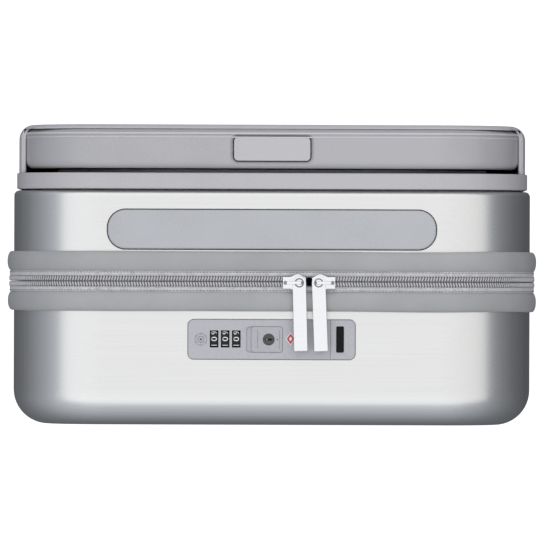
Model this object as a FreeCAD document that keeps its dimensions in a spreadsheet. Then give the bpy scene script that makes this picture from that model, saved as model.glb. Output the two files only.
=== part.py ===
import FreeCAD, Part
import math
import os
import re

import Sketcher
from FreeCAD import Vector

# A hard-shell cabin suitcase that stands on four twin-wheel casters. Units are millimetres.
# X is across the case, Y runs from the front shell (negative) to the telescopic handle at the
# back (positive), and Z is up from the floor. The origin is on the floor under the middle.
# The case is two trays that meet at a zip. The front tray is a door hinged on the +X side.

SIZES = [
    # alias, value, what it is
    ("shell_half", 180.0, "half the width of both shells"),
    ("shell_low", 64.0, "underside of the shells"),
    ("shell_high", 541.0, "top of the shells"),
    ("corner_round", 62.0, "radius of the shells' four big corners"),
    ("wall", 2.0, "shell wall"),
    ("front_face", -104.0, "outer face of the front shell"),
    ("front_round", 24.0, "round between the front face and the sides"),
    ("front_lip", -15.0, "edge of the front shell at the zip"),
    ("rear_lip", 6.0, "edge of the rear shell at the zip"),
    ("rear_back", 58.4, "back wall of the rear shell"),
    ("rear_round", 3.5, "round between that wall and the sides"),
    ("zip_plane", -4.55, "where the two halves meet"),
    ("zip_gap", 0.3, "from the zip plane to each tape"),
    ("band_near", 6.75, "from the zip plane to the near edge of a band"),
    ("band_far", 20.7, "from the zip plane to the far edge of a band"),
    ("band_thick", 4.5, "how far a band stands off the shell"),
    ("band_round", 2.6, "round on the outer edges of a band"),
    ("tape_out", 2.9, "outside of the zip tape, above the shell"),
    ("tape_thick", 1.0, "zip tape"),
    ("coil_out", 3.6, "outside of the coil, above the shell"),
    ("coil_wide", 3.3, "half the closed coil"),
    ("lining_gap", 0.3, "air between a shell and its lining"),
    ("lining_thick", 1.2, "lining"),
    ("frame_half", 178.0, "half the width of the rear frame"),
    ("frame_low", 66.0, "underside of the rear frame"),
    ("frame_high", 542.5, "top of the rear frame"),
    ("frame_near", 59.4, "front face of the rear frame's rim"),
    ("frame_far", 70.5, "back face of the rear frame"),
    ("frame_wall", 5.5, "thickness of the frame's rim"),
    ("frame_floor", 2.6, "thickness of the frame's floor"),
    ("cover_half", 176.5, "half the width of the rear cover"),
    ("cover_low", 68.0, "underside of the rear cover"),
    ("cover_high", 542.0, "top of the rear cover"),
    ("cover_back", 104.0, "outer face of the rear cover"),
    ("cover_round", 10.0, "round on the back edges of the cover"),
    ("cover_side", 3.9, "side wall of the cover"),
    ("cover_wall", 3.0, "back wall of the cover"),
    ("open_top", 500.0, "height where the cover opens for the grip"),
    ("window_half", 62.0, "half the finger window"),
    ("window_high", 521.0, "top of the finger window"),
    ("rib_wide", 6.0, "width of a groove in the cover's back"),
    ("rib_deep", 1.2, "depth of that groove"),
    ("rib_step", 44.0, "distance between grooves"),
    ("grip_half", 172.0, "half the width of the pull handle"),
    ("grip_high", 545.0, "top of the pull handle"),
    ("grip_round", 58.0, "outer corner radius of the pull handle"),
    ("grip_thick", 24.0, "thickness of its bar and legs"),
    ("grip_near", 73.6, "front face of the pull handle"),
    ("grip_far", 100.6, "back face of the pull handle"),
    ("grip_soft", 5.5, "round along its edges"),
    ("leg_low", 484.6, "lower end of its legs"),
    ("tube_x", 160.0, "distance of the tubes from the middle"),
    ("tube_y", 87.0, "middle of the tubes"),
    ("tube_low", 120.0, "foot of the outer tubes"),
    ("outer_wide", 22.0, "outer tube, across"),
    ("outer_deep", 14.0, "outer tube, front to back"),
    ("outer_top", 470.0, "top of the outer tubes"),
    ("mid_wide", 18.6, "middle tube, across"),
    ("mid_deep", 10.6, "middle tube, front to back"),
    ("mid_top", 480.4, "top of the middle tubes"),
    ("inner_wide", 15.2, "inner tube, across"),
    ("inner_deep", 7.2, "inner tube, front to back"),
    ("inner_top", 500.0, "top of the inner tubes"),
    ("tube_wall", 1.1, "tube wall"),
    ("rod_radius", 2.0, "release rod"),
    ("rod_low", 150.0, "lower end of the release rods"),
    ("press_travel", 3.0, "travel of the push-button"),
    ("spring_x", 18.0, "distance of the button's springs from the middle"),
    ("channel_radius", 5.2, "channel in the grip for the release rod"),
    ("button_long", 52.8, "push-button, across"),
    ("button_deep", 16.4, "push-button, front to back"),
    ("button_gap", 0.6, "gap round the push-button"),
    ("button_bevel", 2.0, "bevel round the button's opening"),
    ("handle_half", 113.5, "half the carry handle"),
    ("handle_y", 31.35, "middle of the carry handle"),
    ("handle_wide", 27.2, "carry handle, front to back"),
    ("handle_round", 12.5, "corner radius of the carry handle"),
    ("handle_top", 541.8, "top of the carry handle"),
    ("handle_low", 533.0, "underside of the carry handle"),
    ("handle_gap", 0.5, "gap round the carry handle"),
    ("post_x", 100.0, "distance of the handle's posts from the middle"),
    ("post_radius", 3.0, "handle post"),
    ("post_low", 482.0, "foot of the handle's posts"),
    ("well_low", 478.0, "foot of the tray's wells"),
    ("tray_low", 519.0, "underside of the handle tray"),
    ("lock_half", 57.7, "half the lock plate"),
    ("lock_y", -44.6, "middle of the lock"),
    ("lock_wide", 27.4, "lock plate, front to back"),
    ("lock_top", 541.8, "top of the lock plate"),
    ("plate_low", 540.0, "underside of the lock plate"),
    ("case_low", 519.0, "underside of the lock case"),
    ("dial_x", -39.7, "first dial"),
    ("dial_step", 7.65, "distance between dials"),
    ("dial_radius", 7.4, "dial"),
    ("dial_wide", 5.4, "dial width"),
    ("dial_proud", 0.7, "how far a dial stands out of the plate"),
    ("slide_left", -13.9, "left edge of the lock slide"),
    ("slide_right", 7.6, "right edge of the lock slide"),
    ("slide_wide", 17.6, "lock slide, front to back"),
    ("slide_travel", 3.5, "travel of the lock slide"),
    ("key_x", -2.0, "key cylinder"),
    ("key_radius", 4.0, "key cylinder"),
    ("reset_x", -48.9, "reset button"),
    ("reset_radius", 2.1, "reset button"),
    ("port_x", 47.3, "charging port"),
    ("port_wide", 5.0, "port cap, across"),
    ("port_long", 17.8, "port cap, front to back"),
    ("slider_y", -5.35, "middle of the zip sliders"),
    ("left_pull_x", 19.0, "ring of the left zip pull"),
    ("right_pull_x", 32.4, "ring of the right zip pull"),
    ("slider_low", 544.9, "underside of a zip slider"),
    ("pull_low", 546.5, "underside of a zip pull"),
    ("pull_thick", 1.6, "zip pull"),
    ("pull_wide", 9.4, "zip pull"),
    ("pull_long", 47.2, "from the ring's middle to the end of a zip pull"),
    ("caster_x", 130.0, "caster, across"),
    ("front_caster_y", -58.0, "front casters"),
    ("rear_caster_y", 52.0, "rear casters"),
    ("trail", 20.0, "from a caster's swivel axis to its axle"),
    ("wheel_radius", 25.0, "wheel"),
    ("tyre_depth", 6.0, "tyre, from rim to tread"),
    ("wheel_near", 6.5, "inner face of a wheel, from the caster's middle"),
    ("wheel_far", 20.5, "outer face of a wheel"),
    ("axle_radius", 3.0, "axle"),
    ("fork_low", 51.5, "underside of the fork's disc"),
    ("fork_high", 57.7, "top of the fork's disc"),
    ("fork_radius", 22.0, "fork's disc"),
    ("web_half", 4.4, "half the fork's web"),
    ("pivot_radius", 4.0, "swivel pin"),
    ("housing_low", 58.3, "underside of a caster housing"),
    ("housing_half_x", 33.0, "half a caster housing, across"),
    ("housing_half_y", 29.0, "half a caster housing, front to back"),
]

RUNNING_GAP = 0.06  # between a shaft and the hole that it turns in
CUT_PAST = 5.0  # how far a cutter runs past the face that it opens
EXPORT_FOLDER = "parts"

doc = FreeCAD.newDocument("suitcase")
sheet = doc.addObject("Spreadsheet::Sheet", "Sizes")
sheet.set("A1", "size")
sheet.set("B1", "mm")
sheet.set("C1", "meaning")
for row, (alias, value, meaning) in enumerate(SIZES, start=2):
    sheet.set(f"A{row}", alias)
    sheet.set(f"B{row}", str(value))
    sheet.set(f"C{row}", meaning)
    sheet.setAlias(f"B{row}", alias)
doc.recompute()

ALIASES = {alias for alias, _, _ in SIZES}
nodes = []


# ---------------------------------------------------------------- helpers


def formula(text):
    """A formula in the sheet's aliases, as FreeCAD writes it."""
    return re.sub(
        r"[a-z][a-z_]*",
        lambda found: "Sizes." + found.group() if found.group() in ALIASES else found.group(),
        str(text),
    )


def amount(text):
    """The number that such a formula gives."""
    result = sheet.evalExpression(formula(text))
    return float(getattr(result, "Value", result))


def node(thing, label):
    """Names a finished sub-part, which is then exported."""
    thing.Label = label
    nodes.append(thing)
    return thing


def new_body(name):
    body = doc.addObject("PartDesign::Body", name)
    body.AllowCompound = True
    return body


def fix(sketch, name, kind, places, text):
    """Adds a driving dimension bound to a formula."""
    index = sketch.addConstraint(Sketcher.Constraint(kind, *places, amount(text)))
    sketch.renameConstraint(index, name)
    sketch.setExpression(f"Constraints.{name}", formula(text))


def add_rectangle(sketch, tag, x0, x1, y0, y1, radius=None):
    """A rectangle, rounded where a radius is given, with every size bound to the sheet."""
    left, right, low, high = amount(x0), amount(x1), amount(y0), amount(y1)
    r = amount(radius) if radius else 0.0
    first = sketch.GeometryCount
    sides = [
        ((left + r, low), (right - r, low)),
        ((right, low + r), (right, high - r)),
        ((right - r, high), (left + r, high)),
        ((left, high - r), (left, low + r)),
    ]
    for start, end in sides:
        sketch.addGeometry(Part.LineSegment(Vector(*start, 0), Vector(*end, 0)))
    corners = [(right - r, low + r), (right - r, high - r), (left + r, high - r), (left + r, low + r)]
    for side in range(4):
        following = first + (side + 1) % 4
        if radius:
            ring = Part.Circle(Vector(*corners[side], 0), Vector(0, 0, 1), r)
            start = math.radians(90 * side - 90)
            arc = sketch.addGeometry(Part.ArcOfCircle(ring, start, start + math.pi / 2))
            sketch.addConstraint(Sketcher.Constraint("Tangent", first + side, 2, arc, 1))
            sketch.addConstraint(Sketcher.Constraint("Tangent", arc, 2, following, 1))
        else:
            sketch.addConstraint(Sketcher.Constraint("Coincident", first + side, 2, following, 1))
    for side in (0, 2):
        sketch.addConstraint(Sketcher.Constraint("Horizontal", first + side))
        sketch.addConstraint(Sketcher.Constraint("Vertical", first + side + 1))
    if radius:
        for arc in (5, 6, 7):
            sketch.addConstraint(Sketcher.Constraint("Equal", first + 4, first + arc))
        fix(sketch, tag + "_round", "Radius", (first + 4,), radius)
    fix(sketch, tag + "_left", "DistanceX", (-1, 1, first + 3, 1), x0)
    fix(sketch, tag + "_right", "DistanceX", (-1, 1, first + 1, 1), x1)
    fix(sketch, tag + "_low", "DistanceY", (-1, 1, first, 1), y0)
    fix(sketch, tag + "_high", "DistanceY", (-1, 1, first + 2, 1), y1)


def add_circle(sketch, tag, x, y, radius):
    ring = Part.Circle(Vector(amount(x), amount(y), 0), Vector(0, 0, 1), amount(radius))
    index = sketch.addGeometry(ring)
    fix(sketch, tag + "_radius", "Radius", (index,), radius)
    fix(sketch, tag + "_x", "DistanceX", (-1, 1, index, 3), x)
    fix(sketch, tag + "_y", "DistanceY", (-1, 1, index, 3), y)


def add_polygon(sketch, tag, points):
    spots = [Vector(amount(x), amount(y), 0) for x, y in points]
    first = sketch.GeometryCount
    for index, spot in enumerate(spots):
        sketch.addGeometry(Part.LineSegment(spot, spots[(index + 1) % len(spots)]))
    for index, (x, y) in enumerate(points):
        following = first + (index + 1) % len(points)
        sketch.addConstraint(Sketcher.Constraint("Coincident", first + index, 2, following, 1))
        fix(sketch, f"{tag}_x{index}", "DistanceX", (-1, 1, first + index, 1), x)
        fix(sketch, f"{tag}_y{index}", "DistanceY", (-1, 1, first + index, 1), y)


DRAW = {"rectangle": add_rectangle, "circle": add_circle, "polygon": add_polygon}
PLANE_SIGN = {"XY_Plane": 1, "XZ_Plane": -1, "YZ_Plane": 1}  # sketch normal along the third axis


def draw(body, plane, level, shapes):
    """A sketch parallel to one of the body's own planes, at a level along the plane's axis."""
    sketch = body.newObject("Sketcher::SketchObject", body.Name + "_sketch")
    origin_plane = next(f for f in body.Origin.OriginFeatures if f.Role == plane)
    sketch.AttachmentSupport = [(origin_plane, "")]
    sketch.MapMode = "FlatFace"
    sign = "-1 * " if PLANE_SIGN[plane] < 0 else ""
    sketch.setExpression("AttachmentOffset.Base.z", formula(f"{sign}({level})"))
    for number, (kind, *sizes) in enumerate(shapes):
        DRAW[kind](sketch, f"{kind}{number}", *sizes)
    doc.recompute()
    return sketch


def volume_of(body):
    doc.recompute()
    return body.Shape.Volume if body.Tip else 0.0


def add(body, plane, level, shapes, length, against=False, both_ways=False):
    """Pads a sketch along its normal, or against it, or both ways."""
    before = volume_of(body)
    sketch = draw(body, plane, level, shapes)
    pad = body.newObject("PartDesign::Pad", body.Name + "_pad")
    pad.Profile = sketch
    pad.setExpression("Length", formula(length))
    pad.Reversed = against
    pad.Midplane = both_ways
    if volume_of(body) <= before:
        raise ValueError(f"{body.Name}: a pad added nothing")
    return pad


def cut(body, plane, level, shapes, length, along=False, both_ways=False):
    """Pockets a sketch against its normal, or along it, or both ways."""
    before = volume_of(body)
    sketch = draw(body, plane, level, shapes)
    pocket = body.newObject("PartDesign::Pocket", body.Name + "_pocket")
    pocket.Profile = sketch
    pocket.setExpression("Length", formula(length))
    pocket.Reversed = along
    pocket.Midplane = both_ways
    if volume_of(body) >= before:
        raise ValueError(f"{body.Name}: a pocket cut nothing")
    return pocket


def spin(body, shapes):
    """Turns profiles drawn in the XY plane about the body's own X axis."""
    sketch = draw(body, "XY_Plane", "0", shapes)
    turned = body.newObject("PartDesign::Revolution", body.Name + "_turned")
    turned.Profile = sketch
    turned.ReferenceAxis = (sketch, ["H_Axis"])
    turned.Angle = 360
    doc.recompute()
    return turned


def edges_where(feature, test):
    """Names of the edges whose ends and middle all pass a test on a point."""
    found = []
    for index, edge in enumerate(feature.Shape.Edges, start=1):
        middle = edge.valueAt((edge.FirstParameter + edge.LastParameter) / 2)
        if all(test(p) for p in [middle, *(v.Point for v in edge.Vertexes)]):
            found.append(f"Edge{index}")
    return found


def soften(body, radius, test, kind="Fillet"):
    """Rounds or bevels the edges of the body's last feature that pass a test."""
    base = body.Tip
    edges = edges_where(base, test)
    if not edges:
        raise ValueError(f"{body.Name}: no edge to soften")
    softened = body.newObject("PartDesign::" + kind, body.Name + "_" + kind.lower())
    softened.Base = (base, edges)
    softened.setExpression("Radius" if kind == "Fillet" else "Size", formula(radius))
    doc.recompute()
    return softened


def near(value, target, slack=1e-4):
    return abs(value - target) < slack


def block(name, half, low, high, radius, back, front, soft=None, soft_ends=()):
    """A block with the case's outline, from a back level to a front level along Y."""
    body = new_body(name)
    outline = ("rectangle", f"-1 * ({half})", half, low, high, radius)
    add(body, "XZ_Plane", back, [outline], f"({back}) - ({front})")
    levels = [amount(end) for end in soft_ends]
    if soft:
        soften(body, soft, lambda p: any(near(p.y, level) for level in levels))
    return body


def box(name, x, y, z):
    """A Part::Box between two formulas on each axis."""
    made = doc.addObject("Part::Box", name)
    for length, axis, (low, high) in zip(("Length", "Width", "Height"), "xyz", (x, y, z), strict=True):
        made.setExpression(length, formula(f"({high}) - ({low})"))
        made.setExpression(f"Placement.Base.{axis}", formula(low))
    return made


AXIS_TURN = {
    "x": FreeCAD.Rotation(Vector(0, 1, 0), 90),
    "y": FreeCAD.Rotation(Vector(1, 0, 0), -90),
    "z": FreeCAD.Rotation(),
}


def rod(name, axis, x, y, z, radius, length):
    """A Part::Cylinder that starts at a point and runs along an axis."""
    made = doc.addObject("Part::Cylinder", name)
    made.Placement = FreeCAD.Placement(Vector(), AXIS_TURN[axis])
    made.setExpression("Radius", formula(radius))
    made.setExpression("Height", formula(length))
    for letter, text in zip("xyz", (x, y, z), strict=True):
        made.setExpression(f"Placement.Base.{letter}", formula(text))
    return made


def join(name, *things):
    made = doc.addObject("Part::MultiFuse", name)
    made.Shapes = list(things)
    doc.recompute()
    return made


def group(name, *things):
    made = doc.addObject("Part::Compound", name)
    made.Links = list(things)
    doc.recompute()
    return made


def minus(name, base, *tools):
    made = doc.addObject("Part::Cut", name)
    made.Base = base
    made.Tool = tools[0] if len(tools) == 1 else join(name + "_tools", *tools)
    doc.recompute()
    if not made.Shape.Volume < base.Shape.Volume:
        raise ValueError(f"{name}: the cut removed nothing")
    return made


def mirrored(thing):
    """The other hand of a thing, across the case's middle plane."""
    made = doc.addObject("Part::Mirroring", thing.Name + "_mirrored")
    made.Source = thing
    made.Normal = Vector(1, 0, 0)
    doc.recompute()
    return made


def pair(name, thing):
    return group(name, thing, mirrored(thing))


def coil_spring(name, x, y, low, height, radius, wire, turns):
    """A round-wire compression spring standing on a level."""
    helix = doc.addObject("Part::Helix", name + "_helix")
    helix.setExpression("Radius", formula(radius))
    helix.setExpression("Height", formula(height))
    helix.setExpression("Pitch", formula(f"({height}) / {turns}"))
    helix.SegmentLength = 0.5
    ring = doc.addObject("Part::Circle", name + "_ring")
    ring.setExpression("Radius", formula(wire))
    ring.Placement = FreeCAD.Placement(Vector(), FreeCAD.Rotation(Vector(1, 0, 0), 90))
    ring.setExpression("Placement.Base.x", formula(radius))
    doc.recompute()
    made = doc.addObject("Part::Sweep", name)
    made.Sections = [ring]
    made.Spine = (helix, [f"Edge{i + 1}" for i in range(len(helix.Shape.Edges))])
    made.Solid = True
    made.Frenet = True
    for letter, text in zip("xyz", (x, y, low), strict=True):
        made.setExpression(f"Placement.Base.{letter}", formula(text))
    doc.recompute()
    return made


# ---------------------------------------------------------------- shells


def build_front_shell():
    """The front tray, with the big soft round at its face and the lock's opening in its top."""
    outer = block(
        "front_outer", "shell_half", "shell_low", "shell_high", "corner_round",
        "front_lip", "front_face", "front_round", ["front_face"],
    )
    inner = block(
        "front_inner", "shell_half - wall", "shell_low + wall", "shell_high - wall",
        "corner_round - wall", f"front_lip + {CUT_PAST}", "front_face + wall",
        "front_round - wall", ["front_face + wall"],
    )
    opening = new_body("lock_opening")
    outline = (
        "rectangle", "-1 * lock_half - 0.15", "lock_half + 0.15",
        "lock_y - lock_wide / 2 - 0.15", "lock_y + lock_wide / 2 + 0.15", "4.15",
    )
    add(opening, "XY_Plane", "shell_high - 10", [outline], "20")
    return outer, node(minus("front_shell", outer, inner, opening), "front_shell")


def build_rear_shell():
    """The rear tray, with the carry handle's opening in its top."""
    outer = block(
        "rear_outer", "shell_half", "shell_low", "shell_high", "corner_round",
        "rear_back", "rear_lip", "rear_round", ["rear_back"],
    )
    inner = block(
        "rear_inner", "shell_half - wall", "shell_low + wall", "shell_high - wall",
        "corner_round - wall", "rear_back - wall", f"rear_lip - {CUT_PAST}",
    )
    opening = new_body("handle_opening")
    outline = (
        "rectangle", "-1 * handle_half - handle_gap", "handle_half + handle_gap",
        "handle_y - handle_wide / 2 - handle_gap", "handle_y + handle_wide / 2 + handle_gap",
        "handle_round + handle_gap",
    )
    add(opening, "XY_Plane", "shell_high - 10", [outline], "20")
    return outer, node(minus("rear_shell", outer, inner, opening), "rear_shell")


def build_ring(name, far, near_edge, outside, inside, soft=None):
    """A ring round the case: its two Y levels, and how far it reaches off the shell."""
    outer = block(
        name + "_outer", f"shell_half + {outside}", f"shell_low - ({outside})",
        f"shell_high + {outside}", f"corner_round + {outside}", far, near_edge,
        soft, [far, near_edge],
    )
    inner = block(
        name + "_inner", f"shell_half + {inside}", f"shell_low - ({inside})",
        f"shell_high + {inside}", f"corner_round + {inside}", f"({far}) + 1", f"({near_edge}) - 1",
    )
    return minus(name, outer, inner)


def build_zip_edges():
    """The padded bands over the lips, and the tapes with half a coil each."""
    rear_near, rear_far = "zip_plane + band_near", "zip_plane + band_far"
    front_near, front_far = "zip_plane - band_near", "zip_plane - band_far"
    node(build_ring("rear_band", rear_far, rear_near, "band_thick", "0", "band_round"), "rear_band")
    node(build_ring("front_band", front_near, front_far, "band_thick", "0", "band_round"), "front_band")
    rear_edge, front_edge = "zip_plane + zip_gap", "zip_plane - zip_gap"
    inside = "(tape_out - tape_thick)"
    rear_tape = build_ring("rear_tape", rear_near, rear_edge, "tape_out", inside)
    rear_coil = build_ring("rear_coil", rear_edge + " + coil_wide", rear_edge, "coil_out", "tape_out - 0.2")
    node(join("rear_zip_tape", rear_tape, rear_coil), "rear_zip_tape")
    front_tape = build_ring("front_tape", front_edge, front_near, "tape_out", inside)
    front_coil = build_ring("front_coil", front_edge, front_edge + " - coil_wide", "coil_out", "tape_out - 0.2")
    node(join("front_zip_tape", front_tape, front_coil), "front_zip_tape")


def build_linings():
    """Thin fabric trays inside the shells, cut away round the handle tray and the lock case."""
    gap = "(wall + lining_gap)"
    skin = "(wall + lining_gap + lining_thick)"
    outer = block(
        "rear_lining_outer", f"shell_half - {gap}", f"shell_low + {gap}", f"shell_high - {gap}",
        f"corner_round - {gap}", f"rear_back - {gap}", "rear_lip + 0.5",
    )
    inner = block(
        "rear_lining_inner", f"shell_half - {skin}", f"shell_low + {skin}", f"shell_high - {skin}",
        f"corner_round - {skin}", f"rear_back - {skin}", f"rear_lip - {CUT_PAST}",
    )
    handle_space = box(
        "handle_space", ("-1 * handle_half - 6", "handle_half + 6"),
        ("handle_y - handle_wide / 2 - 6", "handle_y + handle_wide / 2 + 6"),
        ("shell_high - 60", "shell_high"),
    )
    node(minus("rear_lining", outer, inner, handle_space), "rear_lining")
    outer = block(
        "front_lining_outer", f"shell_half - {gap}", f"shell_low + {gap}", f"shell_high - {gap}",
        f"corner_round - {gap}", "front_lip - 0.5", f"front_face + {gap}",
        f"front_round - {gap}", [f"front_face + {gap}"],
    )
    inner = block(
        "front_lining_inner", f"shell_half - {skin}", f"shell_low + {skin}", f"shell_high - {skin}",
        f"corner_round - {skin}", f"front_lip + {CUT_PAST}", f"front_face + {skin}",
        f"front_round - {skin}", [f"front_face + {skin}"],
    )
    lock_space = box(
        "lock_space", ("-1 * lock_half - 2.5", "lock_half + 2.5"),
        ("lock_y - lock_wide / 2 - 2.5", "lock_y + lock_wide / 2 + 2.5"), ("case_low - 1", "shell_high"),
    )
    node(minus("front_lining", outer, inner, lock_space), "front_lining")
    pocket_back = f"front_face + {skin} + 2.6"
    pocket = block("front_pocket", "140", "96", "330", "16", pocket_back, f"front_face + {skin} + 0.1")
    node(pocket, "front_pocket")


def build_straps():
    """Two crossed packing straps that lie on the rear floor, and their buckle."""
    strap_long, strap_wide, strap_thick = 420.0, 26.0, 1.2
    lean = math.degrees(math.atan2(345.0, 240.0))
    floor = amount("rear_back - wall - lining_gap - lining_thick - 0.1")
    middle = Vector(0, 0, amount("(shell_low + shell_high) / 2 - 16"))
    straps = []
    for number, side in enumerate((1, -1)):
        strap = doc.addObject("Part::Box", f"strap{number}")
        strap.Length, strap.Width, strap.Height = strap_long, strap_thick, strap_wide
        turn = FreeCAD.Rotation(Vector(0, 1, 0), side * lean)
        corner = turn.multVec(Vector(-strap_long / 2, 0, -strap_wide / 2))
        level = floor - strap_thick * (number + 1) - 0.1 * number
        strap.Placement = FreeCAD.Placement(middle + corner + Vector(0, level, 0), turn)
        straps.append(strap)
    top = floor - 2 * strap_thick - 0.2
    halves = []
    for name, low, high in (("buckle_plug", -25.0, -0.5), ("buckle_socket", -0.2, 27.0)):
        half = new_body(name)
        outline = ("rectangle", "-17", "17", str(middle.z + low), str(middle.z + high), "5")
        add(half, "XZ_Plane", str(top), [outline], "5.5")
        halves.append(half)
    node(group("straps_and_buckle", *straps, *halves), "straps_and_buckle")


# ---------------------------------------------------------------- back of the case


def build_rear_frame():
    """The rim behind the rear shell, with a floor that carries the tubes."""
    rim = block(
        "frame_rim", "frame_half", "frame_low", "frame_high", "corner_round",
        "frame_far", "frame_near", "0.8", ["frame_far", "frame_near"],
    )
    spigot = block(
        "frame_spigot", "frame_half - 10", "frame_low + 10", "frame_high - 10",
        "corner_round - 10", "frame_near + 0.5", "rear_back",
    )
    hollow = block(
        "frame_hollow", "frame_half - frame_wall", "frame_low + frame_wall", "frame_high - frame_wall",
        "corner_round - frame_wall", "frame_far + 1", "frame_near + frame_floor",
    )
    node(minus("rear_frame", join("frame_solid", rim, spigot), hollow), "rear_frame")
    step = block(
        "frame_step", "frame_half", "frame_low", "frame_high", "corner_round",
        "frame_near + 0.5", "rear_back - 0.5",
    )
    return join("frame_form", rim, step)


def build_rear_cover():
    """The raised back cover: open at the top for the grip, with a finger window and grooves."""
    outer = block(
        "cover_outer", "cover_half", "cover_low", "cover_high", "corner_round - 2",
        "cover_back", "frame_far", "cover_round", ["cover_back"],
    )
    inner = block(
        "cover_inner", "cover_half - cover_side", "cover_low + cover_side",
        "cover_high + 60", "corner_round - 6", "cover_back - cover_wall", "frame_far - 1",
    )
    window = block(
        "cover_window", "window_half", "open_top", "window_high", "8",
        "cover_back + 1", "cover_back - cover_wall - 1",
    )
    grooves = []
    for step in range(-2, 3):
        groove = new_body(f"groove{step + 2}")
        middle = f"{step} * rib_step"
        outline = (
            "rectangle", f"{middle} - rib_wide / 2", f"{middle} + rib_wide / 2",
            "cover_low + 46", "cover_high - 74", "rib_wide / 2 - 0.1",
        )
        add(groove, "XZ_Plane", "cover_back + 1", [outline], "rib_deep + 1")
        grooves.append(groove)
    screws = []
    for x in ("-1 * cover_half + 44", "cover_half - 44"):
        for z in ("cover_low + 22", "cover_high - 118"):
            screws.append((x, z))
    seats = [
        rod(f"screw_seat{i}", "y", x, "cover_back - 1.4", z, "3.6", "4")
        for i, (x, z) in enumerate(screws)
    ]
    shoulders = box(
        "shoulders", ("-1 * cover_half - 5", "cover_half + 5"),
        ("frame_far - 1", "cover_back - cover_wall"), ("open_top - 2", "cover_high + 5"),
    )
    cover = minus("rear_cover", outer, inner, window, shoulders, *grooves, *seats)
    node(cover, "rear_cover")
    heads = []
    for i, (x, z) in enumerate(screws):
        head = rod(f"screw_head{i}", "y", x, "cover_back - 1.4", z, "3.3", "1.2")
        slot = doc.addObject("Part::Prism", f"screw_slot{i}")
        slot.Polygon = 6
        slot.Circumradius = 1.7
        slot.Height = 2
        slot.Placement = FreeCAD.Placement(Vector(), AXIS_TURN["y"])
        for letter, text in zip("xyz", (x, "cover_back - 0.9", z), strict=True):
            slot.setExpression(f"Placement.Base.{letter}", formula(text))
        heads.append(minus(f"screw{i}", head, slot))
    node(group("rear_cover_screws", *heads), "rear_cover_screws")
    return outer


# ---------------------------------------------------------------- telescopic handle


def tube_section(wide, deep, radius):
    """The outline of a tube centred on the right-hand tube's axis."""
    return (
        "rectangle", f"tube_x - ({wide}) / 2", f"tube_x + ({wide}) / 2",
        f"tube_y - ({deep}) / 2", f"tube_y + ({deep}) / 2", radius,
    )


def tube(name, wide, deep, low, high):
    body = new_body(name)
    bore = tube_section(f"{wide} - 2 * tube_wall", f"{deep} - 2 * tube_wall", "1.2")
    add(body, "XY_Plane", low, [tube_section(wide, deep, "2.2"), bore], f"({high}) - ({low})")
    return body


def collar(name, wide, deep, bore_wide, bore_deep, low, high):
    body = new_body(name)
    bore = tube_section(f"{bore_wide} + 0.7", f"{bore_deep} + 0.7", "1.5")
    add(body, "XY_Plane", low, [tube_section(wide, deep, "3"), bore], f"({high}) - ({low})")
    return body


def arch_path(name, lower):
    """The line that the release rod follows through one leg, over the bar and down the other."""
    body = new_body(name)
    sketch = body.newObject("Sketcher::SketchObject", name + "_sketch")
    origin_plane = next(f for f in body.Origin.OriginFeatures if f.Role == "XZ_Plane")
    sketch.AttachmentSupport = [(origin_plane, "")]
    sketch.MapMode = "FlatFace"
    sketch.setExpression("AttachmentOffset.Base.z", formula("-1 * tube_y"))
    bend = amount("grip_round - grip_thick / 2")
    side, top = amount("tube_x"), amount("grip_high - grip_thick / 2")
    foot = amount(lower)
    inner, spring = side - bend, top - bend
    sketch.addGeometry(Part.LineSegment(Vector(-side, foot, 0), Vector(-side, spring, 0)))
    ring = Part.Circle(Vector(-inner, spring, 0), Vector(0, 0, 1), bend)
    sketch.addGeometry(Part.ArcOfCircle(ring, math.pi / 2, math.pi))
    sketch.addGeometry(Part.LineSegment(Vector(-inner, top, 0), Vector(inner, top, 0)))
    ring = Part.Circle(Vector(inner, spring, 0), Vector(0, 0, 1), bend)
    sketch.addGeometry(Part.ArcOfCircle(ring, 0, math.pi / 2))
    sketch.addGeometry(Part.LineSegment(Vector(side, spring, 0), Vector(side, foot, 0)))
    for first, first_end, second, second_end in (
        (0, 2, 1, 2), (1, 1, 2, 1), (2, 2, 3, 2), (3, 1, 4, 1),
    ):
        sketch.addConstraint(Sketcher.Constraint("Tangent", first, first_end, second, second_end))
    for line in (0, 4):
        sketch.addConstraint(Sketcher.Constraint("Vertical", line))
    fix(sketch, "bend_left", "Radius", (1,), "grip_round - grip_thick / 2")
    fix(sketch, "bend_right", "Radius", (3,), "grip_round - grip_thick / 2")
    fix(sketch, "side_left", "DistanceX", (-1, 1, 0, 1), "-1 * tube_x")
    fix(sketch, "side_right", "DistanceX", (-1, 1, 4, 2), "tube_x")
    fix(sketch, "foot_left", "DistanceY", (-1, 1, 0, 1), lower)
    fix(sketch, "foot_right", "DistanceY", (-1, 1, 4, 2), lower)
    fix(sketch, "top", "DistanceY", (-1, 1, 2, 1), "grip_high - grip_thick / 2")
    doc.recompute()
    return sketch


def round_bar(name, path, radius, foot, drop="0"):
    """A round bar swept along an arch path, lowered by a drop."""
    ring = doc.addObject("Part::Circle", name + "_ring")
    ring.setExpression("Radius", formula(radius))
    for letter, text in zip("xyz", ("-1 * tube_x", "tube_y", foot), strict=True):
        ring.setExpression(f"Placement.Base.{letter}", formula(text))
    doc.recompute()
    made = doc.addObject("Part::Sweep", name)
    made.Sections = [ring]
    made.Spine = (path, [f"Edge{i + 1}" for i in range(len(path.Shape.Edges))])
    made.Solid = True
    made.setExpression("Placement.Base.z", formula(f"-1 * ({drop})"))
    doc.recompute()
    return made


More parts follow.
